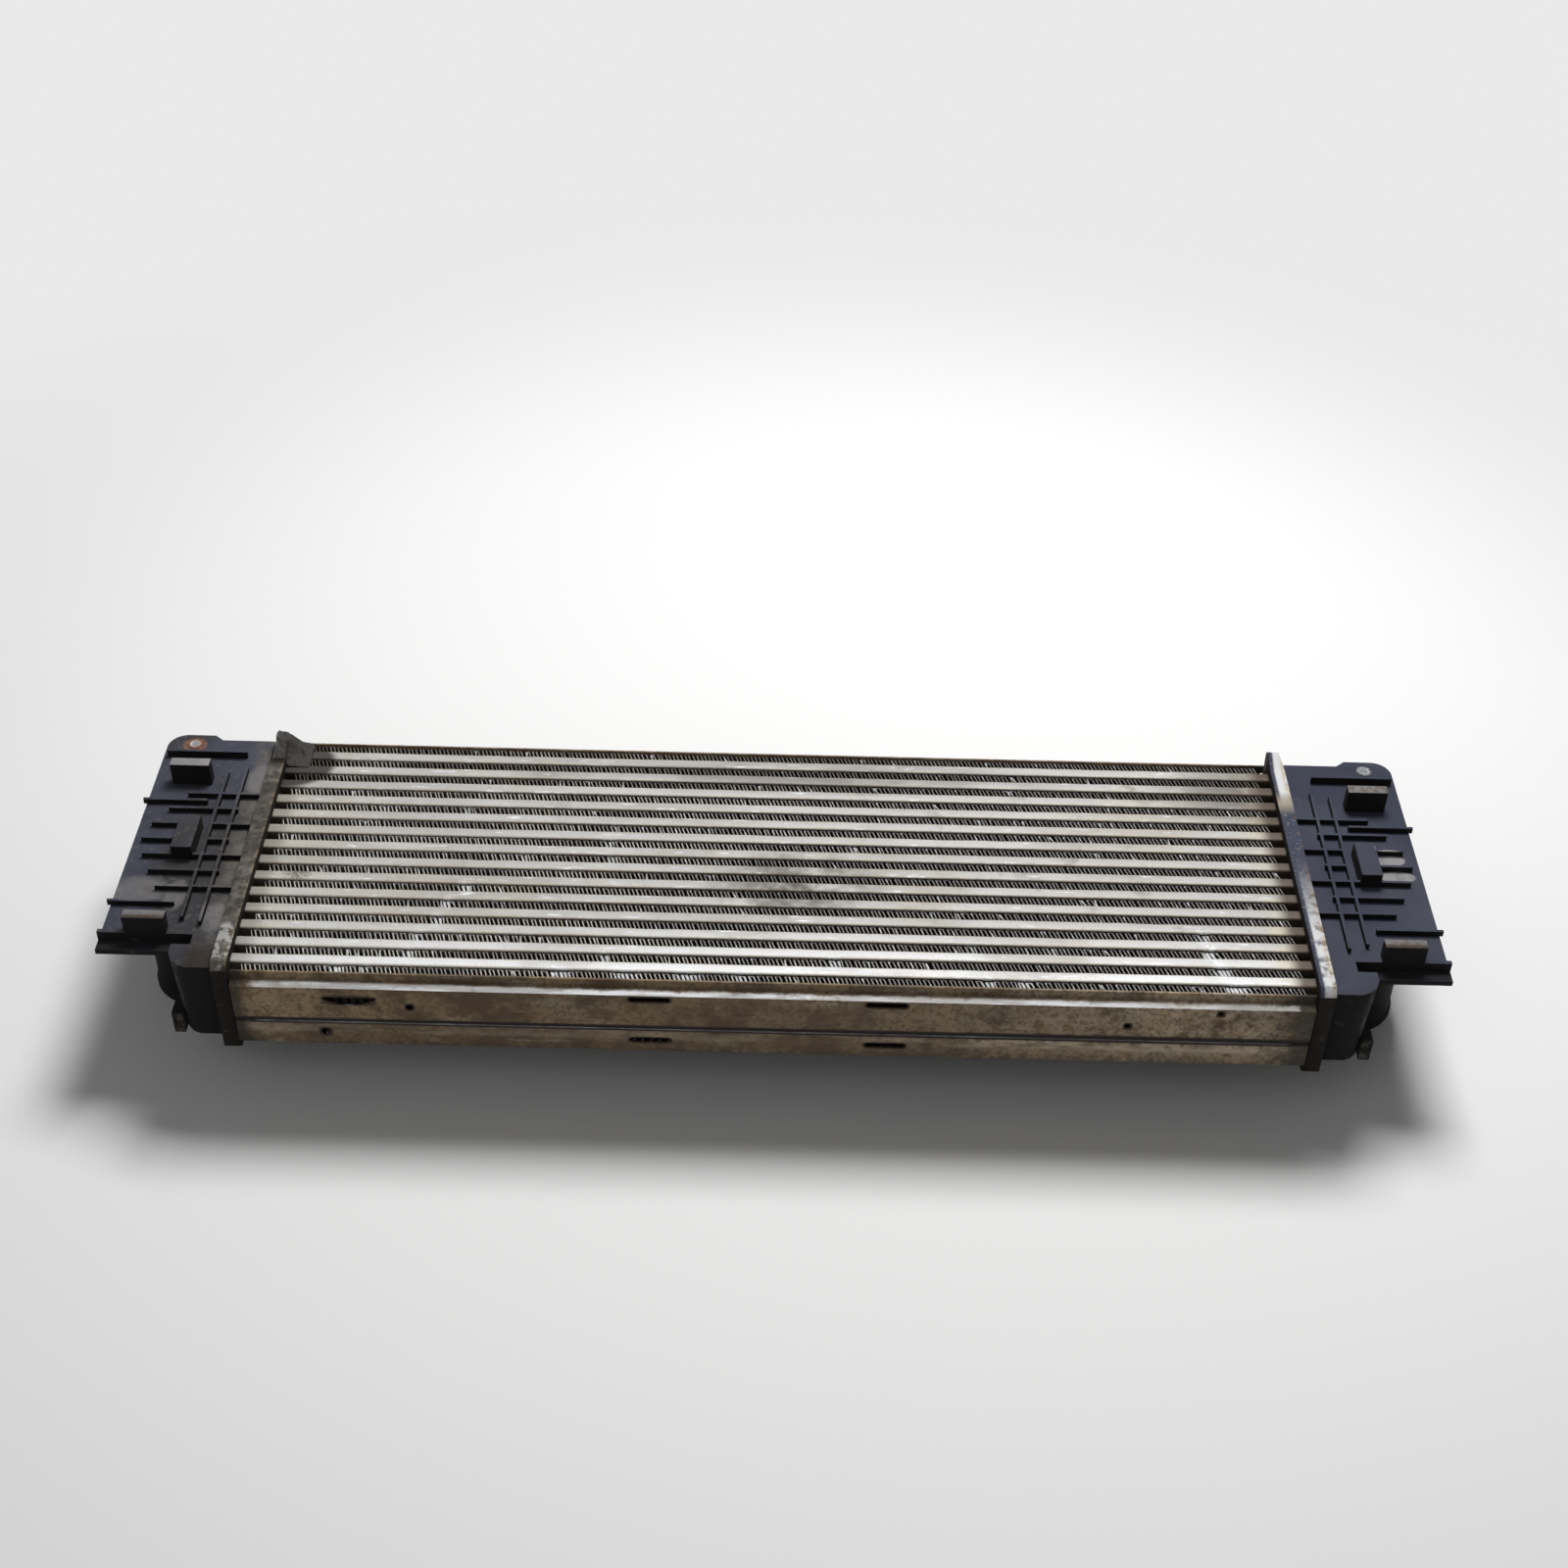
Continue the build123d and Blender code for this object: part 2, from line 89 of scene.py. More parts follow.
PALE_PATCHES = [
    (-409.0, -42.0, 22.0, 17.0),
    (-385.0, -45.0, 9.0, 17.0),
    (-356.0, -65.0, 11.0, 16.0),
    (-352.0, 72.0, 12.0, 20.0),
]

# Painted shade round the slots and holes in both side plates, and round the upper slots that only
# the near
# one has: middle along x, height over the tube noses, half length and half height, in millimetres
SIDE_OPENINGS = [
    (-76.5, -46.0, 14.2, 3.1),
    (71.0, -46.0, 14.2, 3.1),
    (-226.0, -22.0, 3.4, 3.4),
    (-280.5, -45.0, 4.4, 4.4),
    (221.5, -23.5, 3.2, 3.2),
    (278.0, -11.0, 3.0, 3.0),
    (-263.5, -17.0, 17.0, 4.4),
]
UPPER_SLOTS = [(-76.5, -10.5, 14.2, 3.1), (71.0, -10.5, 14.2, 3.1)]

# The Mix node's sockets for colours: factor, first and second colour, and result
MIX_FACTOR, MIX_LOW, MIX_HIGH, MIX_RESULT = 0, 6, 7, 2


# ---- shader maths


class Wire:
    """A shader socket. Sums and products of wires and numbers add their Math nodes."""

    def __init__(self, shading, socket):
        self.shading = shading
        self.socket = socket

    def maths(self, operation, *others, clamp=False):
        """A Math node on this wire and other wires or numbers."""
        settings = {"operation": operation, "use_clamp": clamp}
        return self.shading.node("ShaderNodeMath", settings, dict(enumerate((self, *others))))

    __add__ = __radd__ = partialmethod(maths, "ADD")
    __sub__ = partialmethod(maths, "SUBTRACT")
    __mul__ = __rmul__ = partialmethod(maths, "MULTIPLY")
    __truediv__ = partialmethod(maths, "DIVIDE")
    __pow__ = partialmethod(maths, "POWER")
    __lt__ = partialmethod(maths, "LESS_THAN")
    __abs__ = partialmethod(maths, "ABSOLUTE")
    larger = partialmethod(maths, "MAXIMUM")
    fraction = partialmethod(maths, "FRACT")
    clamped = partialmethod(maths, "ADD", 0.0, clamp=True)

    def __rsub__(self, other):
        return self.shading.node("ShaderNodeMath", {"operation": "SUBTRACT"}, {0: other, 1: self})

    def __neg__(self):
        return 0.0 - self

    def rise(self, start, end):
        """0 at start, 1 at end, smooth between."""
        settings = {"interpolation_type": "SMOOTHSTEP", "clamp": True}
        sockets = {"Value": self, "From Min": start, "From Max": end}
        return self.shading.node("ShaderNodeMapRange", settings, sockets)


def strongest(*masks):
    """The largest of several masks at each place."""
    return reduce(Wire.larger, masks)


def band(place, middle, half_width):
    """1 along the middle of a band, 0 at its edges and outside, in millimetres."""
    return (1.0 - abs((place - middle * MM) / (half_width * MM))).clamped()


def opening(x, height, rim):
    """1 on the painted shade round a slot or hole of a side plate, 0 away from it."""
    middle_x, middle_height, half_length, half_height = rim
    along = abs((x - middle_x * MM) / (half_length * MM))
    up = abs((height - middle_height * MM) / (half_height * MM))
    return (along ** 4.0 + up ** 4.0).rise(1.15, 0.85)


class Shading:
    """The nodes of a material or of the world."""

    def __init__(self, tree):
        self.tree = tree

    def node(self, kind, settings=None, sockets=None, output=0):
        """Adds a node: its settings first, then its sockets' values or links."""
        made = self.tree.nodes.new(kind)
        for name, value in (settings or {}).items():
            setattr(made, name, value)
        for name, value in (sockets or {}).items():
            if isinstance(value, Wire):
                self.tree.links.new(value.socket, made.inputs[name])
            else:
                made.inputs[name].default_value = value
        return Wire(self, made.outputs[output])

    def seen(self):
        """1 for what the camera sees, also in a mirror or through glass, and 0 for light."""
        rays = ("Is Camera Ray", "Is Glossy Ray", "Is Transmission Ray")
        return strongest(*(self.node("ShaderNodeLightPath", output=ray) for ray in rays))

    def blend(self, mask, low, high):
        """Shader low where the mask is 0, high where it is 1."""
        return self.node("ShaderNodeMixShader", sockets={0: mask, 1: low, 2: high})

    def end(self, output, shader):
        """Links a shader to the tree's output."""
        self.tree.links.new(shader.socket, self.tree.nodes[output].inputs["Surface"])


class Finish(Shading):
    """One material: its principled shader and the nodes that feed it."""

    def __init__(self, name, **constants):
        self.material = bpy.data.materials.new(name)
        self.material.use_nodes = True
        super().__init__(self.material.node_tree)
        self.shader = self.tree.nodes["Principled BSDF"]
        for socket, value in constants.items():
            self.shader.inputs[socket.replace("_", " ")].default_value = value
        self.place = self.node("ShaderNodeTexCoord", output="Object")

    def axes(self):
        """The place's X, Y and Z in metres, in the part's own frame."""
        kind = "ShaderNodeSeparateXYZ"
        return [self.node(kind, sockets={"Vector": self.place}, output=i) for i in range(3)]

    def up(self):
        """How far the surface faces up: 1 for a level top, 0 for a wall, -1 underneath."""
        normal = self.node("ShaderNodeNewGeometry", output="Normal")
        return self.node("ShaderNodeSeparateXYZ", sockets={"Vector": normal}, output=2)

    def bent(self):
        """How far the place was knocked over, as kept with the piece's points."""
        return self.node("ShaderNodeAttribute", {"attribute_name": "bent"}, output="Fac")

    def across_tubes(self):
        """0 on the middle line of a tube, rising to 0.5 or falling to -0.5 half a pitch away."""
        y = self.axes()[1]
        return ((y - FIRST_TUBE_Y) / TUBE_PITCH + 0.5).fraction() - 0.5

    def noise(self, scale, detail=4.0, roughness=0.55, stretch=None):
        """Cloudy pattern: scale is its fineness, and a stretch under 1 draws it out that way."""
        place = self.place
        if stretch:
            settings = {"operation": "MULTIPLY"}
            place = self.node("ShaderNodeVectorMath", settings, {0: place, 1: stretch})
        sockets = {"Vector": place, "Scale": scale, "Detail": detail, "Roughness": roughness}
        return self.node("ShaderNodeTexNoise", sockets=sockets)

    def cells(self, scale):
        """0 in the middle of each of many round cells, rising to its border."""
        sockets = {"Vector": self.place, "Scale": scale}
        return self.node("ShaderNodeTexVoronoi", sockets=sockets)

    def mix(self, mask, low, high):
        """Colour low where the mask is 0, high where it is 1."""
        low, high = (c if isinstance(c, Wire) else (*c, 1.0) for c in (low, high))
        sockets = {MIX_FACTOR: mask, MIX_LOW: low, MIX_HIGH: high}
        return self.node("ShaderNodeMix", {"data_type": "RGBA"}, sockets, MIX_RESULT)

    def coated(self, colour, *coats):
        """A colour under coats, each a mask and the colour that it lays over those below."""
        for mask, coat in coats:
            colour = self.mix(mask, colour, coat)
        return colour

    def spot(self, mark):
        """1 in the middle of a mark, falling to 0 at its reach along X and Y."""
        x, y, _ = self.axes()
        middle_x, middle_y, reach_x, reach_y = mark
        across = (x - middle_x * MM) / (reach_x * MM)
        along = (y - middle_y * MM) / (reach_y * MM)
        return (1.0 - (across * across + along * along)).clamped()

    def bump(self, height, distance, strength=1.0):
        """Small relief for the shader's normal."""
        sockets = {"Height": height, "Distance": distance, "Strength": strength}
        return self.node("ShaderNodeBump", sockets=sockets)

    def wear(self, **sockets):
        """Links what varies over the surface, and returns the material."""
        for name, wire in sockets.items():
            self.tree.links.new(wire.socket, self.shader.inputs[name.replace("_", " ")])
        return self.material


# ---- finishes


def tube_finish(colours):
    """Weathered bare aluminium, streaked along the tubes, with oil and road stains, dirt and
    painted shade on the near edges, and painted shade on the sides and at the ends of the tubes.
    """
    finish = Finish("tube_aluminium", Metallic=0.3)
    x, y, z = finish.axes()
    streak = finish.noise(60.0, stretch=(0.25, 1.0, 1.0))
    cloud = finish.noise(9.0, detail=6.0)
    patchy = finish.noise(21.0, detail=5.0, stretch=(0.45, 1.0, 1.0))
    blotch = finish.noise(34.0, detail=6.0, roughness=0.65)
    scratch = finish.noise(330.0, detail=3.0, stretch=(0.16, 1.0, 1.0))
    fine = finish.noise(700.0, detail=2.0)
    pits = finish.cells(420.0).rise(0.16, 0.08)
    across = finish.across_tubes()
    # Dirt and painted shade on each tube's near edge, light dirt on its far edge
    near_edge_dirt_and_shade = across.rise(-0.215, -0.275)
    far_edge = across.rise(0.235, 0.285)
    both_edges = abs(across).rise(0.13, 0.23)
    right = x.rise(-0.05, 0.30)
    left = (-x).rise(0.02, 0.22)
    near = (-y).rise(0.05, 0.11)
    middle = finish.spot(DULL_MIDDLE).rise(0.0, 0.8)
    past_fins = abs(x) - CORE_END_X
    yellow = past_fins.rise(-0.024, -0.006) * (0.25 + right * 0.35) * streak.rise(0.30, 0.60)
    # Painted shade on the tube ends next to the header plates, stronger on the right
    ends = past_fins.rise(-0.010, 0.001) * (0.4 + right * 0.55)
    oil = finish.spot(OIL_ON_TUBES) * blotch.rise(0.36, 0.60)
    grease = finish.spot(GREASE) * streak.rise(0.30, 0.60)
    tips = finish.spot(DIRTY_TIPS) * blotch.rise(0.24, 0.48)
    ring = finish.spot(RING_STAIN) * fine.rise(0.30, 0.55)
    smear = finish.spot(SMEAR_ON_TUBES).rise(0.0, 0.35)
    # Painted shade with dirt on the tubes' sides below their noses, between the fins
    wall = (FACE_Z - z).rise(0.0004, 0.0013) * (0.96 - left * 0.22)
    colour = finish.coated(
        colours.aluminium_shade,
        (streak.rise(0.32, 0.72) * (1.0 - middle * 0.3), colours.aluminium),
        (near * (0.35 + cloud * 0.5), colours.fresh_metal_and_highlight),
        (cloud.rise(0.48, 0.72) * 0.5, colours.road_dust),
        (patchy.rise(0.46, 0.66) * 0.5, colours.tube_grime),
        (both_edges * (0.3 + cloud * 0.5), colours.road_dust),
        (blotch.rise(0.56, 0.72) * (0.25 + right * 0.4), colours.edge_dirt_and_shade),
        (scratch.rise(0.62, 0.74) * 0.7, colours.fresh_metal_and_highlight),
        (strongest(near_edge_dirt_and_shade * (0.6 - left * 0.4), far_edge * 0.15), colours.edge_dirt_and_shade),
        (yellow, colours.yellow_dust),
        (strongest(oil * 0.85, grease * 0.6, ring * 0.8, tips * 0.8), colours.oil_stain_and_shade),
        (pits * 0.3, colours.oil_stain_and_shade),
        (wall, colours.fin_shade_and_dirt),
        (ends, colours.oil_stain_and_shade),
        (finish.bent() * fine.rise(0.35, 0.55), colours.fresh_metal_and_highlight),
        (smear * 0.95, colours.tank_shade),
    )
    height = fine * 0.5 + streak * 0.8 + blotch * 0.8 - pits * 0.6
    return finish.wear(
        Base_Color=colour,
        Roughness=0.5 + streak * 0.2 + oil * 0.15,
        Normal=finish.bump(height, 0.0004, 0.8),
    )


def fin_finish(colours):
    """Folded strip: light where its edges are worn, painted near black in its depth and along the
    tubes, as shade with dirt.
    """
    finish = Finish("fin_aluminium", Metallic=0.1)
    x, y, z = finish.axes()
    patch = finish.noise(14.0, detail=5.0)
    grain = finish.noise(900.0, detail=2.0)
    single = finish.noise(260.0, detail=1.0, stretch=(1.0, 0.25, 0.25))
    cluster = finish.noise(36.0, detail=3.0, stretch=(0.6, 1.0, 1.0))
    # Painted shade with dirt: darker deeper in the strip and next to the tubes, less so on the
    # left
    depth = (FACE_Z - z).rise(0.0016, 0.0026)
    painted_shade_by_tubes = abs(finish.across_tubes()).rise(0.335, 0.31)
    right = x.rise(-0.10, 0.12)
    left = (-x).rise(0.08, 0.26)
    far = y.rise(0.060, 0.088) * patch.rise(0.25, 0.55)
    oil = finish.spot(OIL_ON_FINS)
    smear = finish.spot(SMEAR_ON_FINS).rise(0.0, 0.35)
    colour = finish.coated(
        colours.fin_dull,
        (patch.rise(0.35, 0.7), colours.fin_dust),
        (right * 0.8, colours.fin_grime),
        (cluster.rise(0.44, 0.58) * 0.75, colours.fin_grime),
        (single.rise(0.58, 0.72) * 0.8, colours.fresh_metal_and_highlight),
        (strongest(far * 0.75, oil * 0.7, smear), colours.oil_stain_and_shade),
        (strongest(depth, painted_shade_by_tubes) * (0.96 - left * 0.26), colours.fin_shade_and_dirt),
        (finish.bent().clamped(), colours.fresh_metal_and_highlight),
    )
    return finish.wear(
        Base_Color=colour, Roughness=0.55 + grain * 0.2, Normal=finish.bump(grain, 0.0001, 0.5)
    )


def side_finish(colours):
    """Side plate: brown oxide over aluminium, worn bright along the upper bend under a painted
    highlight, with painted shade in its groove, round its openings and at its ends, and a painted
    highlight under the groove.
    """
    finish = Finish("side_plate_aluminium", Specular_IOR_Level=0.3)
    x, y, z = finish.axes()
    blotch = finish.noise(30.0, detail=8.0, roughness=0.7)
    specks = finish.noise(300.0, detail=5.0, roughness=0.7)
    mottle = finish.noise(110.0, detail=6.0, roughness=0.7)
    streaks = finish.noise(70.0, detail=6.0, roughness=0.7, stretch=(0.22, 1.0, 1.0))
    scrapes = finish.noise(210.0, detail=4.0, stretch=(0.1, 1.0, 1.0))
    crust = finish.cells(170.0).rise(0.20, 0.06)
    level = finish.up().rise(0.55, 0.85)
    right = x.rise(-0.10, 0.30)
    left = (-x).rise(0.10, 0.28)
    along = abs(x)
    height = z - FACE_Z
    low = (-height).rise(0.033, 0.038) * (1.0 - right * 0.8)
    # Painted shade at the plate's ends by the header plates, wider and ragged at the right end,
    # and on its lower outer corners
    tips = along.rise(0.325, 0.3335)
    corner = (along - height - 0.377).rise(0.0, 0.005)
    ragged = x + (mottle - 0.5) * 0.06
    painted_end_shade = strongest(ragged.rise(0.302, 0.330), tips, corner)
    # Dirt and painted shade along the pressed groove, with a narrower band of painted shade in it
    uneven = height + (mottle - 0.5) * 0.006
    groove = band(uneven, -34.9, 2.6 + right * 1.5).rise(0.0, 0.45)
    painted_groove_shade = band(height, -35.4, 3.3 + right * 0.7).rise(0.1, 0.4)
    runs = band(height, -37.5, 9.0) * mottle.rise(0.48, 0.58) * (0.5 + right * 0.5)
    hem = (-height).rise(0.046, 0.0555) * mottle.rise(0.42, 0.55) * 0.8
    # Painted highlight on the lit strip just under the groove, mostly towards the right
    under = band(height, -41.5, 5.5).rise(0.0, 0.6)
    painted_ridge_highlight = under * streaks.rise(0.40, 0.56) * (0.3 + x.rise(0.06, 0.16) * 0.7)
    sunk = strongest(low * 0.6, band(x, -10.0, 310.0) * 0.5, y.rise(0.0, 0.01) * 0.5)
    # Painted highlight over worn bright metal along the upper bend: on faces that look up,
    # narrower away from the left, broken by blotches and fading at the plate's ends
    inner = 0.1142 + (0.5 - left * 0.5) * mottle.rise(0.3, 0.7) * 0.0034
    bend = (-y - inner).rise(-0.0006, 0.0018) * (1.0 - mottle.rise(0.56, 0.70) * 0.6)
    bend_end = (along + (mottle - 0.5) * 0.04).rise(0.328, 0.318)
    lightened = level * (1.0 - right * 0.12) * bend * (1.0 - blotch.rise(0.54, 0.70) * 0.7) * bend_end
    bare = finish.mix(scrapes.rise(0.42, 0.68), colours.aluminium, colours.fresh_metal_and_highlight)
    # Painted shade round the slots and holes, the upper slots on the near plate only
    painted_upper_slot_shade = strongest(*(opening(x, height, rim) for rim in UPPER_SLOTS)) * (y < 0.0)
    painted_opening_shade = strongest(*(opening(x, height, rim) for rim in SIDE_OPENINGS), painted_upper_slot_shade)
    colour = finish.coated(
        colours.oxide_dark,
        (blotch.rise(0.40, 0.60), colours.oxide_light),
        (right * mottle.rise(0.35, 0.60) * 0.6, colours.oxide_cream_and_highlight),
        (sunk, colours.oxide_dark),
        (streaks.rise(0.52, 0.72) * 0.5, colours.grey_scuff),
        (scrapes.rise(0.58, 0.72) * 0.4, colours.grey_scuff),
        (specks.rise(0.47, 0.62) * 0.7, colours.oxide_dark),
        (crust * blotch.rise(0.48, 0.58) * 0.7, colours.oil_stain_and_shade),
        (painted_ridge_highlight * 0.8, colours.oxide_cream_and_highlight),
        (strongest(runs * 0.85, hem), colours.oil_stain_and_shade),
        (groove * 0.8, colours.oil_stain_and_shade),
        (strongest(painted_groove_shade, painted_end_shade * 0.85), colours.tank_shade),
        (lightened, bare),
        (painted_opening_shade, colours.oil_stain_and_shade),
    )
    relief = blotch * 1.2 + specks * 0.8 - crust * 0.6
    return finish.wear(
        Base_Color=colour,
        Metallic=lightened * 0.3,
        Roughness=0.74 - lightened * 0.3 + specks * 0.1,
        Normal=finish.bump(relief, 0.0005, 0.7),
    )


def header_finish(colours):
    """Header plate: navy with bright worn ends on the right, mottled dirt on the left, and painted
    shade on its walls.
    """
    finish = Finish("header_aluminium", Specular_IOR_Level=0.1)
    x, y, _ = finish.axes()
    blotch = finish.noise(38.0, detail=7.0, roughness=0.6)
    mottle = finish.noise(130.0, detail=6.0, roughness=0.65)
    fine = finish.noise(420.0, detail=3.0)
    left = (-x).rise(0.2, 0.3)
    level = finish.up().rise(0.4, 0.8)
    out = (abs(x) - HEADER_X) / HEADER_WIDTH
    far = y.rise(0.060, 0.078)
    near = (-y).rise(-0.012, 0.075)
    bright = strongest(far, near * (0.25 + mottle.rise(0.64, 0.47) * 0.75)) * out.rise(0.16, 0.36)
    fringe = out.rise(0.62, 0.84) * strongest(far, near) * mottle.rise(0.38, 0.54)
    burnt = out.rise(0.60, 0.90) * mottle.rise(0.47, 0.56) * (1.0 - far)
    inner_edge = (1.0 - out).rise(0.75, 0.95) * mottle.rise(0.45, 0.58)
    lightened = finish.spot(RUBBED_HEADER).rise(0.0, 0.4) * mottle.rise(0.56, 0.46)
    smear = finish.spot(SMEAR_ON_HEADER).rise(0.0, 0.4)
    crimps = mottle.rise(0.58, 0.66) * out.rise(0.45, 0.80)
    dirt = finish.coated(
        colours.grey_dirt,
        (mottle.rise(0.38, 0.62), colours.dry_mud_and_highlight),
        (blotch.rise(0.46, 0.60) * 0.8, colours.grey_dirt),
        (inner_edge * 0.35, colours.oxide_light),
    )
    top = finish.coated(
        colours.tank_film_and_sheen,
        (out.rise(0.3, 0.8) * (0.4 + blotch * 0.6), colours.header_grey),
        (bright, colours.worn_header),
        (band(y, 64.0, 12.0) * 0.7, colours.grey_scuff),
        (fringe * 0.75, colours.cream_deposit),
        (burnt * 0.5, colours.oxide_dark),
        (fine.rise(0.60, 0.70) * 0.4, colours.aluminium_shade),
        (left, dirt),
        (lightened * 0.75, colours.aluminium),
        (smear * 0.95, colours.tank_shade),
    )
    # Painted shade: faces that do not look up stay near black, with specks of dried mud on the
    # crimps
    colour = finish.coated(colours.tank_shade, (crimps * 0.35, colours.dry_mud_and_highlight), (level, top))
    return finish.wear(
        Base_Color=colour,
        Metallic=level * 0.25,
        Roughness=0.55 + blotch * 0.3,
        Normal=finish.bump(mottle + fine * 0.3, 0.0005, 0.7),
    )


def tank_finish(colours):
    """Glass-filled black plastic, its top faces greyed by dust with a painted sheen, patchy on the
    left wing, with a painted highlight along the outer near corners.
    """
    finish = Finish("tank_plastic", Specular_IOR_Level=0.06)
    x, y, z = finish.axes()
    cloud = finish.noise(16.0, detail=6.0)
    blotch = finish.noise(60.0, detail=6.0, roughness=0.65)
    mottle = finish.noise(210.0, detail=5.0, roughness=0.7)
    fine = finish.noise(900.0, detail=3.0)
    scuff = finish.noise(90.0, detail=5.0, stretch=(1.0, 0.35, 1.0))
    left = (-x).rise(0.2, 0.3)
    high = (z - FACE_Z).rise(0.0115, 0.0125)
    sunk = (FACE_Z - z).rise(0.004, 0.006)
    on_top = finish.up().rise(0.5, 0.95)
    on_walls = 1.0 - on_top
    pale = strongest(*map(finish.spot, PALE_PATCHES)).rise(0.0, 0.7)
    dusted = pale * (0.3 + mottle * 0.9) * blotch.rise(0.26, 0.46)
    smudges = strongest(*map(finish.spot, SMUDGES)).rise(0.05, 0.30) * scuff.rise(0.25, 0.50)
    rust = finish.spot(RUSTY_EAR).rise(0.0, 0.5) * fine.rise(0.35, 0.60)
    root = band(x, -352.0, 15.0) * left * blotch.rise(0.35, 0.60)
    near_hook = (-y).rise(0.0765, 0.0800) * high
    shiny = finish.spot(SHINY_HOOK).rise(0.0, 0.3)
    corner = left * x.rise(-0.374, -0.362) * (-y).rise(0.080, 0.100)
    thin = strongest(cloud.rise(0.35, 0.65), finish.spot(WIPED_WING).rise(0.0, 0.4))
    # Painted highlight in mud brown along the outer near corners of both tanks
    painted_corner_highlight = abs(x).rise(0.3690, 0.3735) * (-y).rise(0.094, 0.104) * mottle.rise(0.40, 0.70)
    hooks = finish.coated(
        colours.pale_dust,
        (mottle.rise(0.42, 0.58) * 0.6, colours.oxide_dark),
        (shiny * 0.8, colours.dry_smudge),
    )
    dust = finish.coated(
        colours.tank_dust_and_sheen,
        (thin, colours.tank_film_and_sheen),
        (left * cloud.rise(0.40, 0.60) * 0.7, colours.grey_dirt),
        (left * mottle.rise(0.54, 0.66) * 0.5, colours.dry_mud_and_highlight),
        (root, colours.dry_mud_and_highlight),
        (corner * 0.9, colours.corner_grime),
        (dusted * 0.85, colours.pale_dust),
        (smudges, colours.dry_smudge),
        (rust * 0.85, colours.rust_bright),
        (high * scuff.rise(0.10, 0.50), hooks),
        (near_hook * 0.85, colours.oil_stain_and_shade),
    )
    colour = finish.coated(
        colours.tank_black,
        (fine.rise(0.4, 0.6) * 0.4, colours.tank_shade),
        # Dust with a painted sheen on the faces that look up, less on the lower ones
        ((on_top * (0.72 + cloud * 0.4) * (1.0 - sunk * 0.8)).clamped(), dust),
        (painted_corner_highlight * on_walls * 0.5, colours.dry_mud_and_highlight),
        (on_walls * scuff.rise(0.64, 0.74) * 0.12, colours.pale_dust),
    )
    return finish.wear(
        Base_Color=colour,
        Roughness=0.55 + cloud * 0.25,
        Normal=finish.bump(fine + scuff * 0.5, 0.00015, 0.6),
    )


def rubber_finish(colours):
    """Black seal rubber with a dusty bloom."""
    finish = Finish("seal_rubber")
    bloom = finish.noise(120.0)
    colour = finish.mix(bloom.rise(0.4, 0.8) * 0.4, colours.tank_black, colours.grey_dirt)
    return finish.wear(Base_Color=colour, Roughness=0.7 + bloom * 0.2)


def sealer_finish(colours):
    """Hardened sealer: dark grey, with a pale rubbed face."""
    finish = Finish("seal_sealer")
    x, _, z = finish.axes()
    cloud = finish.noise(150.0, detail=5.0)
    lightened = (-x).rise(0.3445, 0.3465) * cloud.rise(0.35, 0.55)
    crown = (z - FACE_Z).rise(0.009, 0.0125) * cloud.rise(0.4, 0.7)
    colour = finish.coated(
        colours.tank_shade, (crown * 0.8, colours.grey_dirt), (lightened * 0.5, colours.pale_dust)
    )
    return finish.wear(
        Base_Color=colour, Roughness=0.65 + cloud * 0.2, Normal=finish.bump(cloud, 0.001, 0.8)
    )


def bush_finish(colours):
    """Steel bush: zinc grey on the right, rusted on the left, its bore painted bright as the light
    seen through it.
    """
    finish = Finish("bush_steel", Metallic=0.3)
    x, y, _ = finish.axes()
    grain = finish.noise(600.0, detail=5.0)
    bore_radius = 3.4 * MM
    across = (abs(x) - BUSH_X) / bore_radius
    along = (y - BUSH_Y) / bore_radius
    # Painted light in the bore, as seen through the hole
    bore = (across * across + along * along).rise(1.1, 0.9)
    rust = finish.mix(grain.rise(0.35, 0.7), colours.rust_dark, colours.rust_bright)
    colour = finish.coated(
        colours.zinc,
        (grain.rise(0.3, 0.7), colours.grey_dirt),
        ((-x).rise(0.0, 0.1) * 0.95, rust),
        (bore * 0.9, colours.fresh_metal_and_highlight),
    )
    return finish.wear(
        Base_Color=colour, Roughness=0.6 + grain * 0.25, Normal=finish.bump(grain, 0.0003)
    )


# ---- settings


def length(name, description, millimetres):
    """A setting in metres, its default given in millimetres."""
    return FloatProperty(
        name=name, description=description, default=millimetres * MM, unit="LENGTH", precision=5
    )


def share(name, description, default):
    """A setting without a unit."""
    return FloatProperty(name=name, description=description, default=default)


def count(name, description, default):
    """A setting that is a whole number."""
    return IntProperty(name=name, description=description, default=default, min=0)


def angle(name, description, degrees):
    """A setting in radians, its default given in degrees."""
    return FloatProperty(
        name=name, description=description, default=math.radians(degrees), subtype="ANGLE"
    )


def tint(name, description, colour):
    """A setting that is a colour."""
    return FloatVectorProperty(
        name=name, description=description, default=colour, subtype="COLOR", min=0.0, max=1.0
    )


class CoolerTubes(bpy.types.PropertyGroup):
    """Nose and waves of the flat tubes."""

    corner: length("Corner", "Radius of the round corners of a nose", 1.5)
    corner_facets: count("Facets", "Facets of a round corner", 5)
    stations: count("Stations", "Sections along a tube", 260)
    wave_span: count("Wave span", "Stations over which a wave is smoothed", 19)
    waviness: length("Waves", "How far a nose dips in the strongest waves", 0.375)
    pinch: share("Pinch", "How much a tube narrows there", 0.03)
    dents: share("Dents", "Brightness of knocked places", 0.95)
    seed: count("Seed", "Start of the random draws", 5)


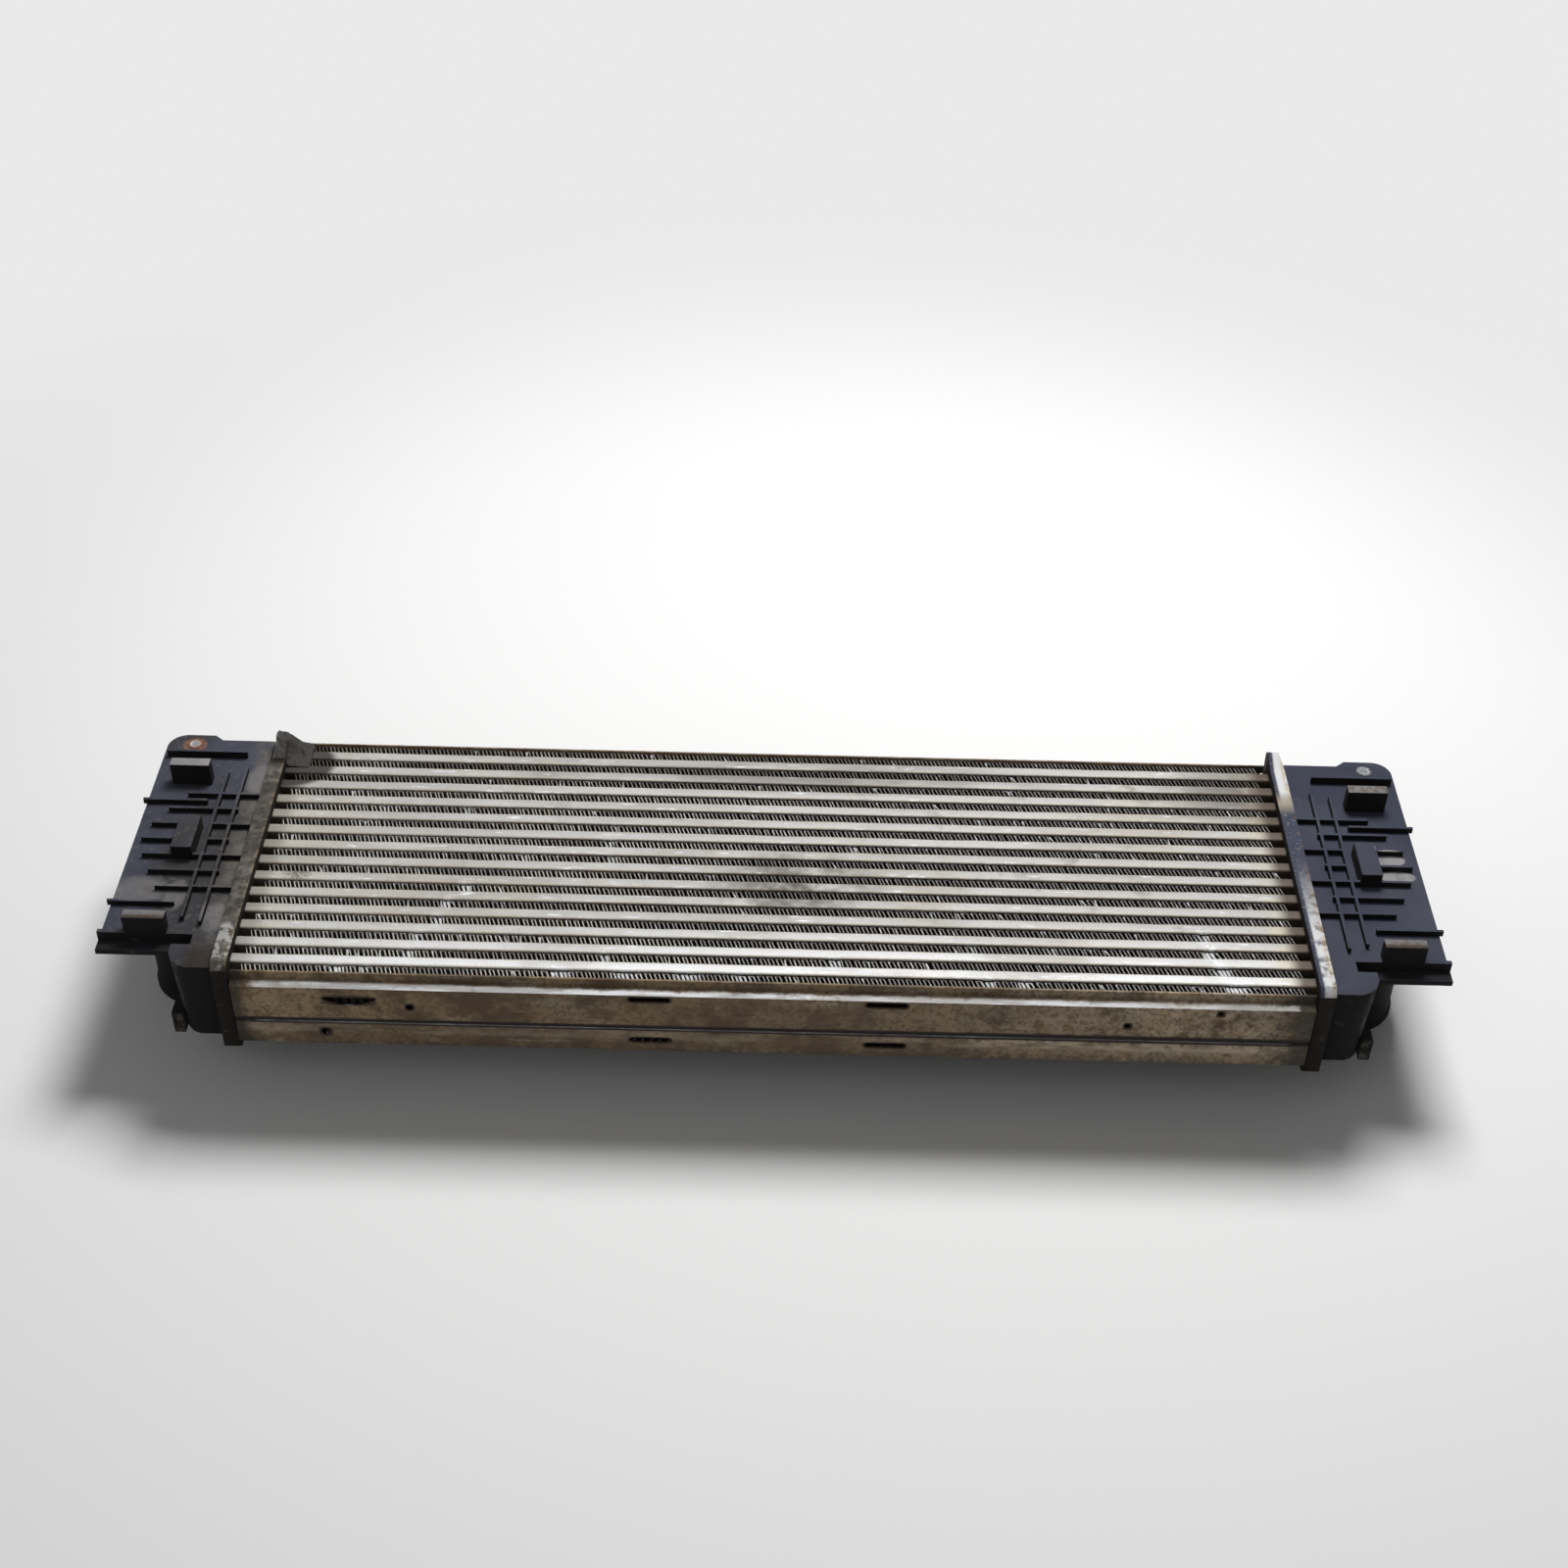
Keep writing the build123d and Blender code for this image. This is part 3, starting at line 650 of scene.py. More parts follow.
class CoolerFins(bpy.types.PropertyGroup):
    """How the fin strips are folded and how far they are knocked about."""

    fold: length("Fold", "From one fold of a strip to the next", 2.7)
    sheet: length("Sheet", "Thickness of the folded strip", 0.45)
    skew: length("Skew", "How far a fold slants from tube to tube", 2.0)
    lean: length("Lean", "How far the edges lean along a strip", 1.0)
    lean_span: count("Lean span", "Edges over which the lean is smoothed", 61)
    jitter: length("Jitter", "Unevenness of single edges", 0.20)
    bend: length("Bend", "How far a knocked edge lies over", 2.3)
    strays: share("Strays", "Share of edges that are bent by themselves", 0.012)
    stray_bend: share("Stray bend", "How strongly a stray edge is bent", 0.6)
    seed: count("Seed", "Start of the random draws", 114)


class CoolerHeader(bpy.types.PropertyGroup):
    """Knocked far end of the right header plate."""

    bent_length: length("Length", "Length of the rim that is bent up", 20.0)
    bent_height: length("Height", "How far its end stands up", 5.5)
    bent_reach: length("Reach", "How far its end leans outwards", 2.5)
    bent_depth: length("Depth", "How far down the rim bends", 5.6)
    bent_taper: share("Taper", "How far its end narrows", 0.35)
    bent_steps: count("Steps", "Steps in which the bend is cut", 8)


class CoolerSealer(bpy.types.PropertyGroup):
    """Surface of the lump of sealer on the far left corner."""

    roughness: length("Roughness", "Unevenness of the lump", 2.2)
    grain: share("Grain", "Fineness of its knobs", 170.0)
    octaves: count("Octaves", "Layers of ever finer knobs", 4)
    smooth_below: length("Smooth below", "Thickness up to which it stays smooth", 0.3)
    full_sag: length("Full sag", "Thickness from which its crown is fully uneven", 3.0)
    full_sway: length("Full sway", "Thickness from which its sides are fully uneven", 5.0)
    sink: length("Sink", "How far the lump has sagged", 0.1)
    gap: length("Gap", "Clearance that it keeps over the tubes and the rim", 0.15)
    rim_height: length("Rim height", "Height of its underside on the header's rim", 7.2)
    rim_start: length("Rim start", "Where the rim starts, from its edge over the tubes", 16.1)
    fineness: count("Fineness", "Points on each side of a section", 5)
    stations: count("Stations", "Sections through the lump", 44)


class CoolerColours(bpy.types.PropertyGroup):
    """Colours of the metals, the plastic and the dirt on them, with some painted light and shade
    among them.
    """

    aluminium: tint("Aluminium", "Clean tube metal", (0.48, 0.477, 0.460))
    aluminium_shade: tint("Dull aluminium", "Greyer streaks", (0.375, 0.370, 0.350))
    # Also painted shade on the tubes' near edges
    edge_dirt_and_shade: tint("Edge dirt", "Dirt along the edges of the tubes", (0.16, 0.14, 0.11))
    tube_grime: tint("Tube grime", "Darker patches on the tubes", (0.27, 0.25, 0.22))
    yellow_dust: tint("Yellow dust", "Stained tube ends", (0.50, 0.43, 0.29))
    # Also the painted highlight along the side plates' upper bend and the painted light in the
    # bush's bore
    fresh_metal_and_highlight: tint("Fresh metal", "Bent fin edges", (0.82, 0.83, 0.85))
    road_dust: tint("Road dust", "Pale brown film", (0.44, 0.38, 0.29))
    # Also painted shade at the tube ends, in the side plates' groove and round their slots and
    # holes
    oil_stain_and_shade: tint("Oil stain", "Dark brown oil", (0.060, 0.042, 0.028))
    fin_dull: tint("Fin metal", "Fin edges", (0.47, 0.45, 0.41))
    fin_dust: tint("Fin dust", "Dusty fin edges", (0.36, 0.31, 0.24))
    fin_grime: tint("Fin grime", "Grimy fin edges on the right", (0.16, 0.15, 0.14))
    # Dirt with painted shade, deep in the fin strips, next to the tubes and on the tubes' sides
    fin_shade_and_dirt: tint("Fin depth", "Dirt inside the strip", (0.012, 0.0105, 0.009))
    oxide_dark: tint("Dark oxide", "Brown weathering", (0.105, 0.070, 0.040))
    oxide_light: tint("Light oxide", "Brown-grey weathering", (0.33, 0.238, 0.140))
    # Also the painted highlight just under the side plates' groove
    oxide_cream_and_highlight: tint("Cream oxide", "Palest weathering", (0.56, 0.47, 0.35))
    header_grey: tint("Header grey", "Header plate metal", (0.060, 0.066, 0.105))
    worn_header: tint("Worn header", "Rubbed header plate", (0.62, 0.62, 0.62))
    zinc: tint("Zinc", "Right-hand ear bush", (0.26, 0.26, 0.28))
    cream_deposit: tint("Cream deposit", "Baked pale stains", (0.50, 0.41, 0.29))
    grey_scuff: tint("Grey scuff", "Scraped oxide", (0.44, 0.385, 0.285))
    grey_dirt: tint("Grey dirt", "Dry dirt on the ends", (0.055, 0.049, 0.042))
    # Also the painted highlight along the tanks' outer near corners
    dry_mud_and_highlight: tint("Dry mud", "Lighter dirt on the left end", (0.155, 0.140, 0.120))
    tank_black: tint("Tank black", "Moulded plastic", (0.0125, 0.0122, 0.0132))
    # Also painted shade in the side plates' groove and at their ends, and on the header plates'
    # walls
    tank_shade: tint("Tank shade", "Plastic in the dirt", (0.014, 0.0115, 0.0095))
    # Dust with a painted sheen on the wings' tops
    tank_dust_and_sheen: tint("Tank dust", "Dust on the wings", (0.072, 0.077, 0.105))
    # Thin dust with a painted sheen, also on the header plates' tops
    tank_film_and_sheen: tint("Tank film", "Thin dust on the wings", (0.049, 0.053, 0.078))
    pale_dust: tint("Pale dust", "Rubbed hooks and dusty patches", (0.23, 0.22, 0.22))
    dry_smudge: tint("Dry smudge", "Wiped dust beside the right block", (0.34, 0.33, 0.33))
    corner_grime: tint("Corner grime", "Brown dirt on the near left corner", (0.040, 0.030, 0.023))
    rust_dark: tint("Dark rust", "Old rust", (0.13, 0.045, 0.018))
    rust_bright: tint("Bright rust", "Fresh rust", (0.34, 0.16, 0.085))


class CoolerStudio(bpy.types.PropertyGroup):
    """Camera, lamps and the pale stage."""

    camera: FloatVectorProperty(
        name="Camera",
        description="Where the camera stands",
        default=(0.0062, -1.1088, 1.1005),
        subtype="TRANSLATION",
        unit="LENGTH",
    )
    lens: share("Lens", "Focal length in millimetres", 51.98)
    yaw: angle("Yaw", "Turn to the right", -0.122)
    pitch: angle("Pitch", "Look down", 39.85)
    roll: angle("Roll", "Lean to the right", -1.273)
    key: share("Key", "Power of the overhead lamp in watts", 33.0)
    fill: share("Fill", "Strength of the light from all round", 0.11)
    floor: tint("Floor", "Light thrown back by the floor", (0.80, 0.80, 0.79))
    shown_floor: tint("Shown floor", "Pale floor as the camera sees it", (0.93, 0.93, 0.925))
    backdrop: tint("Backdrop", "Pale wall as the camera sees it", (0.82, 0.82, 0.82))
    clear: length("Clear", "How far from the cooler the floor keeps its shadows", 620.0)
    fade: length("Fade", "Over what length it turns into the backdrop", 600.0)
    half_width: length("Half width", "Half the width of the floor", 40000.0)


# ---- meshes


def dress(mesh, material):
    """Gives a mesh its finish; its shape stays as it is."""
    mesh.materials.clear()
    mesh.materials.append(material)


def placed(name, mesh, material):
    """A new object with this mesh and finish, in the scene."""
    dress(mesh, material)
    piece = bpy.data.objects.new(name, mesh)
    bpy.context.scene.collection.objects.link(piece)
    return piece


def fixed(piece, node):
    """Fixes a piece to the part's body, where it stands for a node."""
    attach(piece, BODY)
    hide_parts(node)
    return piece


def new_piece(name, points, faces, material, node):
    """Makes a piece from points in metres, which stands for a node."""
    mesh = bpy.data.meshes.new(name)
    mesh.from_pydata([tuple(point) for point in points], [], faces)
    mesh.validate()
    return fixed(placed(name, mesh, material), node)


def smooth(piece, sharpest):
    """Smooth shading, with edges sharper than an angle in degrees kept sharp."""
    for polygon in piece.data.polygons:
        polygon.use_smooth = True
    piece.data.set_sharp_from_angle(angle=math.radians(sharpest))


# Easing of a node's edges: points this near are one point, faces this flat are one face, and
# edges sharper than this get a round
WELD = 0.01 * MM
FLAT = math.radians(0.4)
SHARP = math.radians(32.0)


def eased(node, width, material, bent=None):
    """A copy of a node with its edges eased by a small round, which stands for the node."""
    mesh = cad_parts[node].data.copy()
    shape = bmesh.new()
    shape.from_mesh(mesh)
    bmesh.ops.remove_doubles(shape, verts=shape.verts, dist=WELD)
    bmesh.ops.dissolve_limit(shape, verts=shape.verts, edges=shape.edges, angle_limit=FLAT)
    if bent:
        bent(shape)
    shape.to_mesh(mesh)
    shape.free()
    piece = placed(f"eased_{node}", mesh, material)
    bevel = piece.modifiers.new("eased", "BEVEL")
    bevel.width = width
    bevel.segments = 2
    bevel.limit_method = "ANGLE"
    bevel.angle_limit = SHARP
    bevel.use_clamp_overlap = True
    with bpy.context.temp_override(object=piece, active_object=piece):
        bpy.ops.object.modifier_apply(modifier=bevel.name)
    smooth(piece, 35.0)
    fixed(piece, node)


def raise_far_end(shape):
    """Bends the far end of the right header plate's rim upwards, where it was knocked."""
    header = bpy.context.scene.cooler_header
    low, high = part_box("header_plate_right")
    start = high.y - header.bent_length
    for step in range(header.bent_steps - 1):
        bmesh.ops.bisect_plane(
            shape,
            geom=[*shape.verts, *shape.edges, *shape.faces],
            plane_co=(0.0, start + header.bent_length * step / header.bent_steps, 0.0),
            plane_no=(0.0, 1.0, 0.0),
        )
    for point in shape.verts:
        part = (point.co.y - start) / header.bent_length
        if part > 0.0 and point.co.z > high.z - header.bent_depth:
            part = part * part * (3.0 - 2.0 * part)
            point.co.x = low.x + (point.co.x - low.x) * (1.0 - header.bent_taper * part)
            point.co.z += header.bent_height * part
            point.co.y += header.bent_reach * part * part


def ring_faces(rings, corners):
    """Faces of a tube through closed rings of so many corners each, with both ends capped."""
    faces = []
    for ring in range(rings - 1):
        for i in range(corners):
            a, b = ring * corners + i, ring * corners + (i + 1) % corners
            faces.append((a, b, b + corners, a + corners))
    faces.append(tuple(reversed(range(corners))))
    last = (rings - 1) * corners
    faces.append(tuple(range(last, last + corners)))
    return faces


def mark_bent(piece, shares):
    """Keeps for each point of a piece how far it is knocked, for its finish to read."""
    mark = piece.data.attributes.new("bent", "FLOAT", "POINT")
    mark.data.foreach_set("value", np.asarray(shares, dtype=np.float32))


# Knocked places on the core, by fin strip counted from the middle one: x, reach along x and reach
# along y in millimetres, then strength and side
KNOCKS = {
    -7: [
        (-273.0, 7.0, 6.0, 1.0), (-253.7, 5.0, 6.0, -0.9), (-133.5, 14.0, 6.5, 0.8),
        (-90.8, 16.0, 6.5, -0.9), (-54.2, 14.0, 6.5, 0.8), (-17.6, 13.0, 6.0, -0.7),
        (133.0, 7.0, 7.0, 0.9), (158.0, 9.0, 6.5, -0.8), (290.0, 13.0, 7.5, -1.0),
    ],
    -6: [
        (-229.9, 6.0, 6.0, 0.9), (-107.2, 4.5, 6.0, 0.9), (37.8, 8.0, 6.0, 0.9),
        (280.5, 8.0, 7.5, 1.0),
    ],
    -5: [
        (-224.5, 6.5, 6.0, -1.0), (123.7, 5.0, 5.0, 0.7), (174.7, 6.0, 5.0, 0.7),
        (276.5, 7.0, 7.5, -1.0),
    ],
    -4: [(-215.3, 6.0, 6.0, 1.0), (272.6, 6.0, 6.5, 1.0)],
    -3: [(-209.8, 6.5, 6.0, -1.0), (99.9, 4.0, 5.0, 0.7), (119.1, 4.0, 5.0, -0.7)],
    -2: [(-201.7, 6.5, 6.0, 1.0)],
    0: [(-167.0, 5.0, 5.0, 0.8), (-109.7, 5.0, 5.5, 0.8)],
    1: [(-112.0, 6.0, 5.5, 0.9), (50.2, 5.0, 5.0, 0.7)],
    2: [(-109.0, 4.0, 5.0, 0.7), (-46.5, 4.0, 5.0, 0.7)],
    3: [(-265.7, 5.0, 5.0, 0.8), (-209.5, 5.0, 5.0, 0.8)],
}


def knock_pull(x, y):
    """How strongly each place is knocked over, and to which side: fully near a knock's middle."""
    pull = np.zeros_like(x)
    for strip, knocks in KNOCKS.items():
        for middle, reach_x, reach_y, strength in knocks:
            across = (x - middle * MM) / (reach_x * MM)
            along = (y - strip * TUBE_PITCH) / (reach_y * MM)
            push = np.clip(1.5 * (1.0 - np.hypot(across, along)), 0.0, 1.0) * strength
            pull = np.where(np.abs(push) > np.abs(pull), push, pull)
    return pull


def smoothed(values, window):
    """Random values evened out over a window."""
    return np.convolve(values, window / window.sum(), mode="same")


def tube_section(low, high, settings):
    """Rounded outline of a flat tube: Y from its middle line, and Z."""
    corner, facets = settings.corner, settings.corner_facets
    side, top, bottom = (high.y - low.y) / 2 - corner, high.z - corner, low.z + corner
    outline = []
    for quarter, (y, z) in enumerate(((side, top), (-side, top), (-side, bottom), (side, bottom))):
        for i in range(facets + 1):
            turn = math.pi / 2 * (quarter + i / facets)
            outline.append((y + corner * math.cos(turn), z + corner * math.sin(turn)))
    return outline


def build_tube(node, number, material, settings):
    """Flat tube with blunt noses and the slight waves of a brazed, knocked-about strip."""
    low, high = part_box(node)
    rng = np.random.default_rng(settings.seed + number)
    outline = tube_section(low, high, settings)
    waves = rng.normal(0.0, 1.0, settings.stations)
    waves = np.abs(smoothed(waves, np.hanning(settings.wave_span)))
    middle_y, top = (high.y + low.y) / 2, high.z - settings.corner
    points = []
    for x, wave in zip(np.linspace(low.x, high.x, settings.stations), waves):
        width, dip = 1.0 - wave * settings.pinch, wave * settings.waviness
        points += [(x, middle_y + y * width, z - dip if z > top else z) for y, z in outline]
    faces = ring_faces(settings.stations, len(outline))
    piece = new_piece(f"round_{node}", points, faces, material, node)
    x, y, z = np.array(points).T
    mark_bent(piece, np.where(z > top, np.abs(knock_pull(x, y)) * settings.dents, 0.0))
    smooth(piece, 50.0)


def offset_line(line, distance):
    """A polyline moved sideways by a distance, with mitred corners."""
    along = np.diff(line, axis=0)
    along /= np.linalg.norm(along, axis=1)[:, None]
    normal = np.column_stack((-along[:, 1], along[:, 0]))
    before = np.vstack((normal[:1], normal))
    after = np.vstack((normal, normal[-1:]))
    mitre = (before + after) / (1.0 + (before * after).sum(axis=1))[:, None]
    return line + distance * mitre


def fin_line(low, high, settings):
    """Folded strip seen from above: slanted runs between flat crests."""
    run = high.x - low.x - settings.skew
    folds = round(run / settings.fold)
    crest_y = (high.y - low.y - settings.sheet) / 2
    middle_y = (high.y + low.y) / 2
    line = []
    for i in range(folds + 1):
        x = low.x + i * run / folds
        crests = [(x, middle_y + crest_y), (x + settings.skew, middle_y - crest_y)]
        line += crests if i % 2 == 0 else reversed(crests)
    return np.array(line)


def fin_faces(levels, points):
    """Faces of a strip whose levels have so many points on one side, then as many on the other."""
    ring = [*range(points), *reversed(range(points, 2 * points))]
    last = 2 * points * (levels - 1)
    faces = []
    for upper in range(0, last, 2 * points):
        lower = upper + 2 * points
        for a, b in zip(ring, ring[1:] + ring[:1]):
            faces.append((upper + a, lower + a, lower + b, upper + b))
    for i in range(points - 1):
        faces.append((i, i + 1, points + i + 1, points + i))
        faces.append((last + i + 1, last + i, last + points + i, last + points + i + 1))
    return faces


# Levels of a fin strip above its foot: millimetres below its upper edge, thickness in sheets, how
# far it follows the leaning and knocked edge, how far a knock lowers it and how bright it gets
FIN_LEVELS = [
    (0.0, 1.7, 1.0, 0.55, 1.0),
    (0.7, 1.36, 0.45, 0.0, 1.0),
    (3.2, 1.0, 0.1, 0.0, 0.0),
    (9.0, 1.0, 0.0, 0.0, 0.0),
]


def build_fins(node, number, material, settings):
    """Finely folded strip, its upper edges uneven and here and there knocked over."""
    low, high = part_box(node)
    rng = np.random.default_rng(settings.seed + number)
    line = fin_line(low, high, settings)
    edges = len(line)
    single = rng.normal(0.0, settings.jitter, edges // 2).repeat(2)
    wander = smoothed(rng.normal(0.0, 1.0, edges), np.ones(settings.lean_span))
    strays = rng.random(edges) < settings.strays
    sides = rng.choice([-settings.stray_bend, settings.stray_bend], edges)
    pull = knock_pull(*line.T) + np.where(strays, sides, 0.0)
    shift = settings.lean * wander + single + settings.bend * pull
    fall = settings.bend * np.abs(pull)
    levels = [*FIN_LEVELS, ((high.z - low.z) / MM, *FIN_LEVELS[-1][1:])]
    points, bent = [], []
    for depth, thickness, follow, lowered, brightness in levels:
        for side in (0.5, -0.5):
            x, y = offset_line(line, side * thickness * settings.sheet).T
            x = np.clip(x + shift * follow, low.x, high.x)
            y = np.clip(y, low.y, high.y)
            points.append(np.column_stack((x, y, high.z - depth * MM - fall * lowered)))
            bent.append(np.abs(pull) * brightness)
    faces = fin_faces(len(levels), edges)
    name = f"folded_{node}"
    piece = new_piece(name, np.vstack(points), faces, material, node)
    mark_bent(piece, np.concatenate(bent))


# Section through the lump of sealer: millimetres in from its edge over the tubes, and height over
# its foot; then its stations: millimetres from its far side, and share of the height
SEALER_SECTION = [
    (0.2, 0.2), (0.3, 1.1), (4.5, 2.9), (8.2, 4.9), (11.6, 8.4), (14.6, 11.8), (18.0, 13.2),
    (22.0, 12.7), (24.3, 10.6), (24.6, 7.3), (16.2, 7.3), (16.0, 0.2), (0.2, 0.2),
]
SEALER_STATIONS = [
    (0.1, 0.45), (1.2, 0.86), (3.0, 1.0), (5.4, 0.97), (7.6, 1.0), (10.0, 0.86), (12.5, 0.62),
    (15.5, 0.46), (19.0, 0.33), (22.5, 0.2), (24.8, 0.08),
]


def build_sealer(node, material, settings):
    """Torn lump of sealer that runs from the tray's rim down over the first tubes."""
    low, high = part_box(node)
    corners, stations = np.array(SEALER_SECTION) * MM, np.array(SEALER_STATIONS)
    knots = np.arange(len(corners))
    ring = np.arange(knots[-1] * settings.fineness) / settings.fineness
    across, heights = (np.interp(ring, knots, values) for values in corners.T)
    floors = np.where(across > settings.rim_start, settings.rim_height, settings.gap)
    depths = np.linspace(stations[0, 0], stations[-1, 0], settings.stations)
    points = []
    for depth, full in zip(depths * MM, np.interp(depths, *stations.T)):
        for x, height, floor in zip(across, heights, floors):
            lift = max(height - floor, 0.0) * full
            place = Vector((high.x - x, high.y - depth, low.z + floor + lift))
            if lift > settings.smooth_below:
                knob = noise.turbulence(place * settings.grain, settings.octaves, False)
                place.z -= knob * settings.roughness * min(lift / settings.full_sag, 1.0)
                place.x += (knob - 0.5) * settings.roughness * min(lift / settings.full_sway, 1.0)
            place.z = max(place.z - settings.sink, low.z + floor - settings.gap)
            place.x = min(max(place.x, low.x), high.x)
            points.append(place)
    faces = ring_faces(settings.stations, len(ring))
    piece = new_piece("torn_corner_sealer", points, faces, material, node)
    smooth(piece, 32.0)


# ---- operators


class COOLER_OT_tubes(bpy.types.Operator):
    """Build the fourteen flat tubes with round noses"""

    bl_idname = "cooler.tubes"
    bl_label = "Flat tubes"

    def execute(self, context):
        material = tube_finish(context.scene.cooler_colours)
        for number, node in enumerate(TUBES):
            build_tube(node, number, material, context.scene.cooler_tubes)
        return {"FINISHED"}


class COOLER_OT_fins(bpy.types.Operator):
    """Build the folded fin strips between the tubes"""

    bl_idname = "cooler.fins"
    bl_label = "Fin strips"

    def execute(self, context):
        material = fin_finish(context.scene.cooler_colours)
        for number, node in enumerate(FINS):
            build_fins(node, number, material, context.scene.cooler_fins)
        return {"FINISHED"}


class COOLER_OT_header_plates(bpy.types.Operator):
    """Ease and dress the two crimped header plates"""

    bl_idname = "cooler.header_plates"
    bl_label = "Header plates"

    def execute(self, context):
        material = header_finish(context.scene.cooler_colours)
        for side, bent in (("left", None), ("right", raise_far_end)):
            eased(f"header_plate_{side}", 0.5 * MM, material, bent)
        return {"FINISHED"}


class COOLER_OT_side_plates(bpy.types.Operator):
    """Ease and dress the two pressed side plates"""

    bl_idname = "cooler.side_plates"
    bl_label = "Side plates"

    def execute(self, context):
        material = side_finish(context.scene.cooler_colours)
        for side in ("near", "far"):
            eased(f"side_plate_{side}", 0.3 * MM, material)
        return {"FINISHED"}


class COOLER_OT_end_tanks(bpy.types.Operator):
    """Ease and dress the two moulded end tanks"""

    bl_idname = "cooler.end_tanks"
    bl_label = "End tanks"

    def execute(self, context):
        material = tank_finish(context.scene.cooler_colours)
        for side in ("left", "right"):
            eased(f"end_tank_{side}", 0.4 * MM, material)
        return {"FINISHED"}


class COOLER_OT_small_parts(bpy.types.Operator):
    """Dress the ear bushes and the tank seals, and build the lump of sealer"""

    bl_idname = "cooler.small_parts"
    bl_label = "Bushes and seals"

    def execute(self, context):
        colours = context.scene.cooler_colours
        eased("ear_bushes", 0.2 * MM, bush_finish(colours))
        rubber = rubber_finish(colours)
        for side in ("left", "right"):
            dress(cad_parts[f"tank_gasket_{side}"].data, rubber)
        build_sealer("corner_sealer", sealer_finish(colours), context.scene.cooler_sealer)
        return {"FINISHED"}


# The studio's lamps: name, place and width in metres, and share of the overhead lamp's power
LAMPS = [("key", (0.25, 0.75, 1.75), 0.7, 1.0), ("front", (-0.9, -1.6, 1.9), 1.6, 0.15)]


